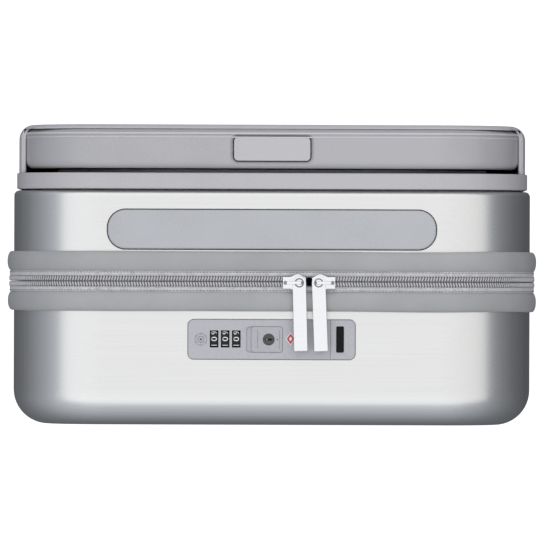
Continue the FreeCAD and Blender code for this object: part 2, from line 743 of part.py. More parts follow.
def build_tubes():
    outer = tube("outer_tube", "outer_wide", "outer_deep", "tube_low", "outer_top")
    node(pair("outer_tubes", outer), "outer_tubes")
    outer_collar = collar(
        "outer_collar", "outer_wide + 2", "outer_deep + 2", "mid_wide", "mid_deep",
        "outer_top", "outer_top + 10",
    )
    node(pair("outer_collars", outer_collar), "outer_collars")
    mid = tube("mid_tube", "mid_wide", "mid_deep", "tube_low + 8", "mid_top")
    node(pair("mid_tubes", mid), "mid_tubes")
    mid_collar = collar(
        "mid_collar", "outer_wide", "outer_deep", "inner_wide", "inner_deep",
        "mid_top", "leg_low - 0.3",
    )
    node(pair("mid_collars", mid_collar), "mid_collars")
    inner = tube("inner_tube", "inner_wide", "inner_deep", "tube_low + 16", "inner_top")
    node(pair("inner_tubes", inner), "inner_tubes")
    foot = new_body("tube_foot")
    outline = ("rectangle", "-1 * tube_x - 10", "tube_x + 10", "frame_near + frame_floor", "tube_y + 9", "3")
    add(foot, "XY_Plane", "tube_low - 4", [outline], "4")
    node(foot, "tube_foot_bracket")


def build_grip():
    """The wide pull handle: an arch with soft edges, sockets for the tubes and a button well."""
    grip = new_body("grip")
    outline = ("rectangle", "-1 * grip_half", "grip_half", "grip_high - 200", "grip_high", "grip_round")
    add(grip, "XZ_Plane", "grip_far", [outline], "grip_far - grip_near")
    arch = (
        "rectangle", "-1 * grip_half + grip_thick", "grip_half - grip_thick",
        "grip_high - 180", "grip_high - grip_thick", "grip_round - grip_thick",
    )
    cut(grip, "XZ_Plane", "grip_far + 1", [arch], "grip_far - grip_near + 2", along=True)
    faces = (amount("grip_near"), amount("grip_far"))
    soften(grip, "grip_soft", lambda p: any(near(p.y, face) for face in faces))
    below = ("rectangle", "-1 * grip_half - 5", "grip_half + 5", "grip_high - 210", "leg_low")
    cut(grip, "XZ_Plane", "grip_far + 1", [below], "grip_far - grip_near + 2", along=True)
    well = (
        "rectangle", "-1 * button_long / 2 - button_gap", "button_long / 2 + button_gap",
        "tube_y - button_deep / 2 - button_gap", "tube_y + button_deep / 2 + button_gap", "3.6",
    )
    cut(grip, "XY_Plane", "grip_high + 1", [well], "grip_thick / 2 + 1")
    top = amount("grip_high")
    rim_x, rim_y = amount("button_long / 2 + 2"), amount("tube_y")
    soften(
        grip, "button_bevel",
        lambda p: near(p.z, top) and abs(p.x) < rim_x and abs(p.y - rim_y) < 9.5, "Chamfer",
    )
    cover_bay = ("rectangle", "-128", "128", "tube_y - 8", "tube_y + 8", "4")
    cut(grip, "XY_Plane", "grip_high - grip_thick - 1", [cover_bay], "4", along=True)
    wells = [("circle", x, "tube_y", "2.9") for x in ("-1 * spring_x", "spring_x")]
    cut(grip, "XY_Plane", "grip_high - grip_thick + 1", wells, "7", along=True)
    sockets = [
        tube_section("inner_wide + 0.1", "inner_deep + 0.1", "2.2"),
        (
            "rectangle", "-1 * tube_x - inner_wide / 2 - 0.05", "-1 * tube_x + inner_wide / 2 + 0.05",
            "tube_y - inner_deep / 2 - 0.05", "tube_y + inner_deep / 2 + 0.05", "2.2",
        ),
    ]
    cut(grip, "XY_Plane", "leg_low - 1", sockets, "inner_top - leg_low + 1", along=True)
    channel_foot = "leg_low - 20"
    channel = round_bar(
        "channel", arch_path("channel_path", channel_foot), "channel_radius", channel_foot,
        "press_travel / 2",
    )
    node(minus("trolley_grip", grip, channel), "trolley_grip")
    lid = new_body("grip_lid")
    outline = ("rectangle", "-128", "128", "tube_y - 8", "tube_y + 8", "4")
    add(lid, "XY_Plane", "grip_high - grip_thick", [outline], "3")
    node(lid, "grip_cover")


def build_release():
    """The push-button, the bent rod that it pushes down both legs, and its two springs."""
    button = new_body("button")
    outline = (
        "rectangle", "-1 * button_long / 2", "button_long / 2",
        "tube_y - button_deep / 2", "tube_y + button_deep / 2", "3",
    )
    add(button, "XY_Plane", "grip_high - 7", [outline], "7.2")
    top = amount("grip_high + 0.2")
    soften(button, "0.7", lambda p: near(p.z, top))
    rod_top = "grip_high - grip_thick / 2 + rod_radius"
    stem = ("rectangle", "-9", "9", "tube_y - 2.5", "tube_y + 2.5")
    add(button, "XY_Plane", rod_top, [stem], f"grip_high - 7 - ({rod_top})")
    node(button, "release_button")
    path = arch_path("rod_path", "rod_low")
    node(round_bar("rods", path, "rod_radius", "rod_low"), "release_rods")
    low = "grip_high - grip_thick + 3.3"
    high = "grip_high - grip_thick / 2 - rod_radius - 0.3"
    right = coil_spring(
        "button_spring", "spring_x", "tube_y", low, f"({high}) - ({low})", "2.2", "0.25", 4
    )
    node(pair("button_springs", right), "button_springs")


# ---------------------------------------------------------------- carry handle


def build_carry_handle():
    """A flush sprung handle: two posts slide in wells that hang below a tray in the shell."""
    tray = new_body("tray")
    outline = (
        "rectangle", "-1 * handle_half - 5", "handle_half + 5",
        "handle_y - handle_wide / 2 - 5", "handle_y + handle_wide / 2 + 5", "handle_round + 5",
    )
    add(tray, "XY_Plane", "tray_low", [outline], "shell_high - wall - tray_low")
    hollow = (
        "rectangle", "-1 * handle_half - 2", "handle_half + 2",
        "handle_y - handle_wide / 2 - 2", "handle_y + handle_wide / 2 + 2", "handle_round + 2",
    )
    cut(tray, "XY_Plane", "shell_high", [hollow], "shell_high - tray_low - 2")
    sides = ("-1 * post_x", "post_x")
    well = [("circle", x, "handle_y", "7.5") for x in sides]
    add(tray, "XY_Plane", "well_low", well, "tray_low - well_low + 0.5")
    bore = [("circle", x, "handle_y", "5.6") for x in sides]
    cut(tray, "XY_Plane", "well_low + 1.6", bore, "tray_low - well_low - 1.6", along=True)
    hole = [("circle", x, "handle_y", "post_radius + 0.3") for x in sides]
    cut(tray, "XY_Plane", "tray_low - 1", hole, "4", along=True)
    node(tray, "carry_handle_tray")

    handle = new_body("handle")
    outline = (
        "rectangle", "-1 * handle_half", "handle_half",
        "handle_y - handle_wide / 2", "handle_y + handle_wide / 2", "handle_round",
    )
    add(handle, "XY_Plane", "handle_low", [outline], "handle_top - handle_low")
    low, top = amount("handle_low"), amount("handle_top")
    soften(handle, "1.2", lambda p: near(p.z, top) or near(p.z, low))
    posts = [("circle", x, "handle_y", "post_radius") for x in sides]
    add(handle, "XY_Plane", "post_low", posts, "handle_low - post_low + 1")
    flanges = [("circle", x, "handle_y", "5.2") for x in sides]
    add(handle, "XY_Plane", "post_low", flanges, "3")
    node(handle, "carry_handle")
    spring = coil_spring(
        "handle_spring", "post_x", "handle_y", "post_low + 3.6", "tray_low - post_low - 4.2",
        "4.25", "0.45", 6,
    )
    node(pair("carry_handle_springs", spring), "carry_handle_springs")


# ---------------------------------------------------------------- lock


def dial_x(index):
    return f"dial_x + {index} * dial_step"


def build_lock():
    build_lock_plate()
    build_lock_case()
    for index in range(3):
        dial = new_body(f"dial{index}")
        half = "dial_wide / 2"
        spin(dial, [(
            "polygon",
            [
                (f"-1 * {half}", f"1.5 + {RUNNING_GAP}"), (half, f"1.5 + {RUNNING_GAP}"),
                (half, "dial_radius - 0.5"), (f"{half} - 0.5", "dial_radius"),
                (f"-1 * {half} + 0.5", "dial_radius"), (f"-1 * {half}", "dial_radius - 0.5"),
            ],
        )])
        for letter, text in zip(
            "xyz", (dial_x(index), "lock_y + 0.3", "lock_top + dial_proud - dial_radius"), strict=True
        ):
            dial.setExpression(f"Placement.Base.{letter}", formula(text))
        doc.recompute()
        node(dial, f"lock_dial_{index + 1}")
    build_lock_slide()
    reset = new_body("reset")
    add(reset, "XY_Plane", "lock_top - 11", [("circle", "reset_x", "lock_y", "reset_radius")], "11.1")
    cut(reset, "XY_Plane", "lock_top + 0.2", [("circle", "reset_x", "lock_y", "0.6")], "0.9")
    node(reset, "lock_reset_button")
    cap = new_body("cap")
    port_y = "lock_y + 0.2"
    plug = (
        "rectangle", "port_x - port_wide / 2", "port_x + port_wide / 2",
        f"{port_y} - port_long / 2", f"{port_y} + port_long / 2", "0.8",
    )
    add(cap, "XY_Plane", "lock_top - 6", [plug], "6.6")
    top = amount("lock_top + 0.6")
    soften(cap, "0.4", lambda p: near(p.z, top))
    node(cap, "port_cap")


def build_lock_plate():
    plate = new_body("plate")
    outline = (
        "rectangle", "-1 * lock_half", "lock_half",
        "lock_y - lock_wide / 2", "lock_y + lock_wide / 2", "4",
    )
    add(plate, "XY_Plane", "plate_low", [outline], "lock_top - plate_low")
    top = amount("lock_top")
    soften(plate, "0.6", lambda p: near(p.z, top))
    windows = [
        (
            "rectangle", f"{dial_x(i)} - dial_wide / 2 - 0.25", f"{dial_x(i)} + dial_wide / 2 + 0.25",
            "lock_y + 0.3 - 5.9", "lock_y + 0.3 + 5.9",
        )
        for i in range(3)
    ]
    port = (
        "rectangle", "port_x - port_wide / 2 - 0.15", "port_x + port_wide / 2 + 0.15",
        "lock_y + 0.2 - port_long / 2 - 0.15", "lock_y + 0.2 + port_long / 2 + 0.15", "0.9",
    )
    reset = ("circle", "reset_x", "lock_y", "reset_radius + 0.08")
    cut(plate, "XY_Plane", "lock_top + 1", [*windows, port, reset], "lock_top - plate_low + 2")
    bay = (
        "rectangle", "slide_left - slide_travel - 0.2", "slide_right + 0.2",
        "lock_y - slide_wide / 2 - 0.2", "lock_y + slide_wide / 2 + 0.2", "2.2",
    )
    cut(plate, "XY_Plane", "lock_top + 1", [bay], "2.2")
    key_way = (
        "rectangle", "key_x - slide_travel - key_radius - 0.3", "key_x + key_radius + 0.3",
        "lock_y - key_radius - 0.3", "lock_y + key_radius + 0.3", "key_radius + 0.2",
    )
    cut(plate, "XY_Plane", "lock_top", [key_way], "lock_top - plate_low + 1")
    ring_half = 4.7
    hexagon = (
        "polygon",
        [
            (f"reset_x + {ring_half * math.sin(math.radians(60 * i)):.3f}",
             f"lock_y + {ring_half * math.cos(math.radians(60 * i)):.3f}")
            for i in range(6)
        ],
    )
    cut(plate, "XY_Plane", "lock_top + 1", [hexagon], "1.35")
    seam = ("rectangle", "40.3", "40.8", "lock_y - lock_wide / 2 - 1", "lock_y + lock_wide / 2 + 1")
    cut(plate, "XY_Plane", "lock_top + 1", [seam], "1.45")
    node(plate, "lock_plate")


def build_lock_case():
    """The moulded case under the plate, with the dials' fixed pin."""
    case = new_body("case")
    outline = (
        "rectangle", "-1 * lock_half + 0.2", "lock_half - 0.2",
        "lock_y - lock_wide / 2 + 0.2", "lock_y + lock_wide / 2 - 0.2", "3.8",
    )
    add(case, "XY_Plane", "case_low", [outline], "plate_low - case_low")
    flange = (
        "rectangle", "-1 * lock_half - 1.6", "lock_half + 1.6",
        "lock_y - lock_wide / 2 - 1.6", "lock_y + lock_wide / 2 + 1.6", "5.6",
    )
    add(case, "XY_Plane", "case_low + 8", [flange], "shell_high - wall - case_low - 8")
    dial_bay = (
        "rectangle", "dial_x - dial_wide / 2 - 1", "dial_x + 2 * dial_step + dial_wide / 2 + 1",
        "lock_y + 0.3 - 8.2", "lock_y + 0.3 + 8.2",
    )
    cut(case, "XY_Plane", "plate_low + 1", [dial_bay], "14.5")
    key_bay = ("rectangle", "key_x - slide_travel - 5", "key_x + 5", "lock_y - 5", "lock_y + 5", "4")
    cut(case, "XY_Plane", "plate_low + 1", [key_bay], "13")
    port_bay = ("rectangle", "port_x - 3.5", "port_x + 3.5", "lock_y - 10", "lock_y + 10.4", "1")
    cut(case, "XY_Plane", "plate_low + 1", [port_bay], "plate_low - lock_top + 7")
    cut(case, "XY_Plane", "plate_low + 1", [("circle", "reset_x", "lock_y", "reset_radius + 0.08")], "14")
    pin = rod(
        "dial_pin", "x", "dial_x - dial_wide / 2 - 1.2", "lock_y + 0.3",
        "lock_top + dial_proud - dial_radius", "1.5", "2 * dial_step + dial_wide + 2.4",
    )
    node(join("lock_case", case, pin), "lock_case")


def build_lock_slide():
    """The sliding plate that frees the zip pulls, and the key cylinder that it carries."""
    slide = new_body("slide")
    outline = (
        "rectangle", "slide_left", "slide_right",
        "lock_y - slide_wide / 2", "lock_y + slide_wide / 2", "2",
    )
    keyhole = ("circle", "key_x", "lock_y", "key_radius + 0.08")
    add(slide, "XY_Plane", "lock_top - 1.1", [outline, keyhole], "1.4")
    top = amount("lock_top + 0.3")
    outer_edge = amount("key_radius + 1")
    key_x, lock_y = amount("key_x"), amount("lock_y")
    soften(
        slide, "0.3",
        lambda p: near(p.z, top) and math.hypot(p.x - key_x, p.y - lock_y) > outer_edge,
    )
    for x in ("slide_left + 4.3", "slide_right - 2"):
        rib = ("rectangle", f"{x} - 0.25", f"{x} + 0.25", "lock_y - 6.5", "lock_y + 6.5")
        cut(slide, "XY_Plane", "lock_top + 1", [rib], "1.0")
    node(slide, "lock_slide")
    key = new_body("key")
    add(key, "XY_Plane", "lock_top - 10", [("circle", "key_x", "lock_y", "key_radius")], "10.4")
    top = amount("lock_top + 0.4")
    soften(key, "0.4", lambda p: near(p.z, top))
    slot = ("rectangle", "key_x - 2.4", "key_x + 2.4", "lock_y - 0.6", "lock_y + 0.6")
    cut(key, "XY_Plane", "lock_top + 1", [slot], "8")
    node(key, "key_cylinder")


# ---------------------------------------------------------------- zip


def build_slider(side, ring_x, outward):
    """A zip slider with its bridge. Its wide end faces the middle of the closed zip."""
    slider = new_body(f"slider_{side}")
    add(
        slider, "XY_Plane", "slider_low",
        [(
            "polygon",
            [
                (f"{ring_x} + {outward * x}", f"slider_y + {y}")
                for x, y in (
                    (11.4, -4.1), (11.4, 4.1), (6.0, 4.1), (2.0, 5.9), (0.0, 5.9), (-4.6, 3.4),
                    (-4.6, -3.4), (0.0, -5.9), (2.0, -5.9), (6.0, -4.1),
                )
            ],
        )],
        "1.2",
    )
    far_leg, near_leg = 9.0, 0.4
    bridge = (
        "rectangle",
        f"{ring_x} + {min(outward * far_leg, -outward * near_leg - outward * 1.2)}",
        f"{ring_x} + {max(outward * far_leg, -outward * near_leg - outward * 1.2)}",
        "slider_low + 1", "slider_low + 5.1", "0.9",
    )
    add(slider, "XZ_Plane", "slider_y", [bridge], "2", both_ways=True)
    gap = (
        "rectangle",
        f"{ring_x} + {min(outward * (far_leg - 1.8), outward * near_leg)}",
        f"{ring_x} + {max(outward * (far_leg - 1.8), outward * near_leg)}",
        "slider_low + 1.2", "slider_low + 3.6",
    )
    cut(slider, "XZ_Plane", "slider_y", [gap], "4", both_ways=True)
    node(slider, f"zip_slider_{side}")


def build_pull(side, ring_x):
    pull = new_body(f"pull_{side}")
    half = "pull_wide / 2"
    add(pull, "XY_Plane", "pull_low", [("circle", ring_x, "slider_y", half)], "pull_thick")
    arm = (
        "rectangle", f"{ring_x} - {half}", f"{ring_x} + {half}",
        "slider_y - pull_long", "slider_y", "0.8",
    )
    add(pull, "XY_Plane", "pull_low", [arm], "pull_thick")
    hole = ("circle", ring_x, "slider_y", "3.1")
    cut(pull, "XY_Plane", "pull_low - 1", [hole], "pull_thick + 2", along=True)
    node(pull, f"zip_pull_{side}")


def build_zip_sliders():
    build_slider("left", "left_pull_x", -1)
    build_slider("right", "right_pull_x", 1)
    build_pull("left", "left_pull_x")
    build_pull("right", "right_pull_x")


# ---------------------------------------------------------------- casters


def place(body, x, y, z):
    for letter, text in zip("xyz", (x, y, z), strict=True):
        body.setExpression(f"Placement.Base.{letter}", formula(text))
    doc.recompute()


def build_caster(where, x, y):
    """One caster's moving pieces, each drawn about its own axis and then placed."""
    fork = new_body(f"fork_{where}")
    cover_out, cover_in = "wheel_radius + 4", "wheel_radius + 1.5"
    rings = [("circle", "trail", "wheel_radius", cover_out), ("circle", "trail", "wheel_radius", cover_in)]
    add(fork, "YZ_Plane", "0", rings, "2 * wheel_far + 2.4", both_ways=True)
    lower = ("rectangle", "trail - 40", "trail + 40", "-10", "wheel_radius + 9")
    cut(fork, "YZ_Plane", "0", [lower], "60", both_ways=True)
    add(fork, "XY_Plane", "fork_low", [("circle", "0", "0", "fork_radius")], "fork_high - fork_low")
    web = (
        "polygon",
        [("7.5", "fork_low + 1"), ("7.5", "44"), ("trail - 6.5", "wheel_radius - 5"),
         ("trail - 3", "wheel_radius - 7"), ("trail + 3", "wheel_radius - 7"),
         ("trail + 7", "wheel_radius - 3"), ("trail + 8", "wheel_radius + 27.5"),
         ("trail - 2", "fork_low + 1")],
    )
    add(fork, "YZ_Plane", "0", [web], "2 * web_half", both_ways=True)
    cut(fork, "XY_Plane", "fork_low", [("circle", "0", "0", "7")], "14")
    bore = [("circle", "0", "0", f"pivot_radius + {RUNNING_GAP}")]
    cut(fork, "XY_Plane", "fork_high + 1", bore, "fork_high - fork_low + 2")
    axle_hole = [("circle", "trail", "wheel_radius", f"axle_radius + {RUNNING_GAP}")]
    cut(fork, "YZ_Plane", "0", axle_hole, "20", both_ways=True)
    place(fork, x, y, "0")
    node(fork, f"caster_fork_{where}")

    axle_y = f"{y} + trail"
    axle = rod(
        f"axle_{where}", "x", f"{x} - wheel_far + 0.6", axle_y, "wheel_radius",
        "axle_radius", "2 * wheel_far - 1.2",
    )
    node(axle, f"caster_axle_{where}")

    hubs = new_body(f"hubs_{where}")
    rim = "wheel_radius - tyre_depth"
    profiles = [
        (
            "polygon",
            [(f"{side} * (wheel_near + 0.3)", "axle_radius"), (f"{side} * (wheel_far - 0.4)", "axle_radius"),
             (f"{side} * (wheel_far - 0.4)", "axle_radius + 4"), (f"{side} * (wheel_far - 3)", "axle_radius + 5"),
             (f"{side} * (wheel_far - 3)", f"{rim} - 3"), (f"{side} * (wheel_far - 0.4)", f"{rim} - 2"),
             (f"{side} * (wheel_far - 0.4)", rim), (f"{side} * (wheel_near + 0.3)", rim)],
        )
        for side in (-1, 1)
    ]
    spin(hubs, profiles)
    spoke_holes = [
        (
            "circle",
            f"{11.5 * math.cos(math.radians(72 * i)):.3f}",
            f"{11.5 * math.sin(math.radians(72 * i)):.3f}",
            "2.6",
        )
        for i in range(5)
    ]
    cut(hubs, "YZ_Plane", "0", spoke_holes, "60", both_ways=True)
    place(hubs, x, axle_y, "wheel_radius")
    node(hubs, f"wheel_hubs_{where}")

    tyres = new_body(f"tyres_{where}")
    profiles = [
        ("rectangle", "wheel_near", "wheel_far", rim, "wheel_radius", "2.4"),
        ("rectangle", "-1 * wheel_far", "-1 * wheel_near", rim, "wheel_radius", "2.4"),
    ]
    spin(tyres, profiles)
    place(tyres, x, axle_y, "wheel_radius")
    node(tyres, f"wheel_tyres_{where}")


def build_housings(which, y, forms):
    """The moulded corner blocks that carry two casters, trimmed to the case's underside."""
    body = new_body(f"{which}_housing")
    outline = (
        "rectangle", "caster_x - housing_half_x", "caster_x + housing_half_x",
        f"{y} - housing_half_y", f"{y} + housing_half_y", "14",
    )
    add(body, "XY_Plane", "housing_low", [outline], "50")
    low = amount("housing_low")
    soften(body, "4", lambda p: near(p.z, low))
    bore = [("circle", "caster_x", y, "pivot_radius")]
    cut(body, "XY_Plane", "housing_low - 1", bore, "6", along=True)
    trimmed = minus(f"{which}_housing_trimmed", body, *forms)
    keep = box(
        f"{which}_keep", ("caster_x - 60", "caster_x + 60"), (f"{y} - 60", f"{y} + 60"),
        ("housing_low - 1", "housing_low + 40"),
    )
    common = doc.addObject("Part::Common", f"{which}_housing_low")
    common.Base, common.Tool = trimmed, keep
    doc.recompute()
    node(pair(f"{which}_wheel_housings", common), f"{which}_wheel_housings")
    shank = rod(f"{which}_pin", "z", "caster_x", y, "housing_low - 8", "pivot_radius", "12.8")
    head = rod(f"{which}_pin_head", "z", "caster_x", y, "housing_low - 10.5", "pivot_radius + 2", "2.7")
    pin = join(f"{which}_swivel_pin", shank, head)
    node(pair(f"{which}_swivel_pins", pin), f"{which}_swivel_pins")


# ---------------------------------------------------------------- build and export

front_form, _ = build_front_shell()
rear_form, _ = build_rear_shell()
build_zip_edges()
build_linings()
build_straps()
frame_form = build_rear_frame()
cover_form = build_rear_cover()
build_tubes()
build_grip()
build_release()
build_carry_handle()
build_lock()
build_zip_sliders()
build_housings("front", "front_caster_y", [front_form])
build_housings("rear", "rear_caster_y", [rear_form, frame_form, cover_form])
for end, caster_y in (("front", "front_caster_y"), ("rear", "rear_caster_y")):
    build_caster(f"{end}_left", "-1 * caster_x", caster_y)
    build_caster(f"{end}_right", "caster_x", caster_y)
doc.recompute()

failed = [f"{o.Label}: {o.State}" for o in doc.Objects if {"Invalid", "Error"} & set(o.State)]
if failed:
    raise ValueError(f"objects failed: {failed}")
os.makedirs(EXPORT_FOLDER, exist_ok=True)
for old in os.listdir(EXPORT_FOLDER):
    os.remove(os.path.join(EXPORT_FOLDER, old))
for thing in nodes:
    shape = thing.Shape
    if shape.isNull() or not shape.isValid() or not shape.Solids:
        raise ValueError(f"{thing.Label} is not a valid solid")
    shape.exportStep(os.path.join(EXPORT_FOLDER, thing.Label + ".step"))
    print(f"{thing.Label}: {len(shape.Solids)} solids, {shape.Volume / 1000:.2f} cm3")
print(f"{len(nodes)} nodes")
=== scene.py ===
"""Looks of the hard-shell suitcase: materials, bands, zip, numerals, linings, stage and camera."""
import math

import bmesh
import bpy
from mathutils import Matrix, Vector, noise


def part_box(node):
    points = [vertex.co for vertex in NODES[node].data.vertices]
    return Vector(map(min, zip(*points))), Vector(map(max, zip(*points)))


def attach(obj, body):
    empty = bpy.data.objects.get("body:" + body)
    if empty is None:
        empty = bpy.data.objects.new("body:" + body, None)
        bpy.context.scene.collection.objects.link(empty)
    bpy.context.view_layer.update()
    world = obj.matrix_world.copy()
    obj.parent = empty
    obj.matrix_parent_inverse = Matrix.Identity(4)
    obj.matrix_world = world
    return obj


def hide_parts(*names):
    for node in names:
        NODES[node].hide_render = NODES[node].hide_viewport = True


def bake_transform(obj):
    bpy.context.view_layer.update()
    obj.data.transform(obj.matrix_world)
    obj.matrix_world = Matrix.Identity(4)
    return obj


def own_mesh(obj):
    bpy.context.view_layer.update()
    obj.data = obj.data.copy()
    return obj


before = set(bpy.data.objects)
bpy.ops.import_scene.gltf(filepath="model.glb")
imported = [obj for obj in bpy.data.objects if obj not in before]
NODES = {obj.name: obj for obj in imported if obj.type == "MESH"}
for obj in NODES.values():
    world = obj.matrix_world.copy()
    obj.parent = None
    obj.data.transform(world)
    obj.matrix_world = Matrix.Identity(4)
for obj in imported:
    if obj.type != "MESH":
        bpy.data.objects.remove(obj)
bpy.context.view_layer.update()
MM = 0.001

# The case's outline in X and Z, which every ring follows, and the zip's level in Y.
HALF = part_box("front_shell")[1][0]
LOW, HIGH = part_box("front_shell")[0][2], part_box("front_shell")[1][2]
CORNER = 62 * MM
ZIP_Y = -4.55 * MM

# Where the run between the two sliders starts and ends in X.
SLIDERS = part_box("zip_slider_left")[1][0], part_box("zip_slider_right")[0][0]

# Half the hinge fabric's length in Z, and half the length along which the zip has no teeth.
HINGE_REACH, BARE_REACH = 0.137, 0.135

# The middle span of a noise pattern, which holds nearly all of it.
MIDDLE = (0.3, 0.7)


# ------------------------ material helpers


def shade(name, color, roughness, **sockets):
    """A Principled material. Uniform values go on the shader's own sockets."""
    material = bpy.data.materials.new(name)
    material.use_nodes = True
    shader = material.node_tree.nodes["Principled BSDF"]
    shader.inputs["Base Color"].default_value = (*color, 1)
    shader.inputs["Roughness"].default_value = roughness
    for socket, value in sockets.items():
        shader.inputs[socket.replace("_", " ")].default_value = value
    material.diffuse_color = (*color, 1)
    return material


def add_node(material, kind, inputs=(), **settings):
    """A shader node. Its inputs take plain values or other nodes' outputs."""
    node = material.node_tree.nodes.new("ShaderNode" + kind)
    for key, value in settings.items():
        setattr(node, key, value)
    for key, value in dict(inputs).items():
        if isinstance(value, bpy.types.NodeSocket):
            material.node_tree.links.new(value, node.inputs[key])
        else:
            node.inputs[key].default_value = value
    return node


def maths(material, operation, *values):
    """The result of a maths node."""
    node = add_node(material, "Math", enumerate(values), operation=operation)
    return node.outputs["Value"]


def link(material, output, socket):
    """Drives one of the shader's sockets from a node's output."""
    shader = material.node_tree.nodes["Principled BSDF"]
    material.node_tree.links.new(output, shader.inputs[socket])


def places(material, stretch=(1, 1, 1), turn=(0, 0, 0)):
    """Object coordinates in metres, stretched so that a pattern runs along an axis."""
    here = add_node(material, "TexCoord").outputs["Object"]
    mapped = add_node(material, "Mapping", {"Vector": here, "Scale": stretch, "Rotation": turn})
    return mapped.outputs["Vector"]


def speckle(material, scale, detail=3.0, stretch=(1, 1, 1)):
    """Noise, from fine grain to slow drifts by its scale."""
    texture = add_node(
        material, "TexNoise",
        {"Vector": places(material, stretch), "Scale": scale, "Detail": detail, "Roughness": 0.6},
    )
    return texture.outputs["Fac"]


def between(material, value, low, high, span=MIDDLE):
    """Maps a pattern's middle span onto a range of values."""
    mapped = add_node(
        material, "MapRange",
        {"Value": value, "From Min": span[0], "From Max": span[1], "To Min": low, "To Max": high},
    )
    return mapped.outputs["Result"]


def tint(material, value, dark, light, span=MIDDLE):
    """Colours a material between two tones by a pattern."""
    ramp = add_node(material, "ValToRGB", {"Fac": value})
    ramp.color_ramp.elements[0].position, ramp.color_ramp.elements[1].position = span
    ramp.color_ramp.elements[0].color = (*dark, 1)
    ramp.color_ramp.elements[1].color = (*light, 1)
    link(material, ramp.outputs["Color"], "Base Color")


def relief(material, height, depth, strength=1.0, under=None, edge=0.0):
    """Bumps from a pattern, over another relief or over edges softened by a radius."""
    inputs = {"Height": height, "Distance": depth, "Strength": strength}
    if under is not None:
        inputs["Normal"] = under
    elif edge:
        bevel = add_node(material, "Bevel", {"Radius": edge}, samples=6)
        inputs["Normal"] = bevel.outputs["Normal"]
    bumped = add_node(material, "Bump", inputs).outputs["Normal"]
    link(material, bumped, "Normal")
    return bumped


def scaled(color, factor):
    """A colour made darker or lighter."""
    return tuple(min(1.0, channel * factor) for channel in color)


# ------------------------ materials


def brushed_film(name, color):
    """Metal-look film. Its fine lines run across the faces and back along the sides."""
    material = shade(name, color, 0.3, Metallic=0.94)
    fine, drawn = 1500, 6
    across = speckle(material, 1.0, 2.0, (drawn, fine, fine))
    along = speckle(material, 1.0, 2.0, (fine, drawn, fine))
    normal = add_node(material, "NewGeometry").outputs["True Normal"]
    split = add_node(material, "SeparateXYZ", {"Vector": normal}).outputs["X"]
    side = between(material, maths(material, "ABSOLUTE", split), 0.0, 1.0, (0.6, 0.85))
    lines = add_node(material, "Mix", {"Factor": side, "A": across, "B": along}).outputs["Result"]
    tint(material, lines, scaled(color, 0.975), scaled(color, 1.02))
    link(material, between(material, lines, 0.27, 0.35), "Roughness")
    relief(material, lines, 0.000006, 0.22, edge=0.0014)
    return material


def moulded(name, color, roughness=0.45, grain=2600, depth=0.00002, edge=0.0004, **sockets):
    """Moulded plastic: softened edges, a fine grain, and slow drifts of tone and gloss."""
    material = shade(name, color, roughness, **sockets)
    drift = speckle(material, 14)
    both = maths(material, "ADD", drift, speckle(material, grain * 0.5, 2))
    tint(material, both, scaled(color, 0.95), scaled(color, 1.045), (0.75, 1.25))
    link(material, between(material, drift, roughness * 0.93, roughness * 1.08), "Roughness")
    relief(material, speckle(material, grain, 2), depth, 0.6, edge=edge)
    return material


def metal(name, color, roughness, stretch=(1, 1, 1), scale=900, edge=0.0003):
    """Bare metal with a drawn or turned grain along one axis."""
    material = shade(name, color, roughness, Metallic=1.0)
    grain = speckle(material, scale, 3, stretch)
    tint(material, grain, scaled(color, 0.96), scaled(color, 1.03))
    link(material, between(material, grain, roughness * 0.8, roughness * 1.25), "Roughness")
    relief(material, grain, 0.000006, 0.5, edge=edge)
    return material


def woven(name, color, thread=0.0005, roughness=0.85, depth=0.00012, lean=0.0):
    """Cloth with a plain weave: two uneven sets of ridges that cross. It leans about Y."""
    wave_pitch = 0.314  # a wave texture's spacing in metres at a scale of 1
    material = shade(name, color, roughness, Sheen_Weight=0.25, Sheen_Roughness=0.5)
    wobble = speckle(material, 260)
    ridges = []
    for axis in "XZ":
        bands = add_node(
            material, "TexWave",
            {
                "Vector": places(material, turn=(0, lean, 0)), "Scale": wave_pitch / thread,
                "Distortion": 0.6, "Detail": 1.0,
            },
            bands_direction=axis,
        )
        ridges.append(bands.outputs["Fac"])
    shaded = maths(material, "ADD", maths(material, "MULTIPLY", *ridges), wobble)
    tint(material, shaded, scaled(color, 0.7), scaled(color, 1.25), (0.3, 1.3))
    relief(material, shaded, depth, 0.8)
    return material


def netting(name, color):
    """Knitted mesh: dark holes in a lattice of pale threads."""
    pitch = 0.0022
    material = shade(name, color, 0.75, Sheen_Weight=0.2, Sheen_Roughness=0.5)
    cells = add_node(
        material, "TexVoronoi",
        {"Vector": places(material, (1, 0, 1)), "Scale": 1 / pitch, "Randomness": 0.12},
    ).outputs["Distance"]
    tint(material, cells, scaled(color, 0.16), scaled(color, 1.1), (0.3, 0.42))
    relief(material, cells, 0.0002, 0.7)
    return material


def soft_band(name, color):
    """The edge bands' coated padding: a pebbled skin that is rubbed paler in places."""
    material = shade(
        name, color, 0.5, Sheen_Weight=0.03, Sheen_Roughness=0.4, Specular_IOR_Level=0.3
    )
    drift = speckle(material, 22, 4)
    tint(material, drift, scaled(color, 0.92), scaled(color, 1.06))
    link(material, between(material, drift, 0.44, 0.58), "Roughness")
    pebble = add_node(material, "TexVoronoi", {"Vector": places(material), "Scale": 1500.0})
    fine = relief(material, pebble.outputs["Distance"], 0.00003, 0.35)
    relief(material, speckle(material, 90, 3), 0.0004, 0.35, fine)
    return material


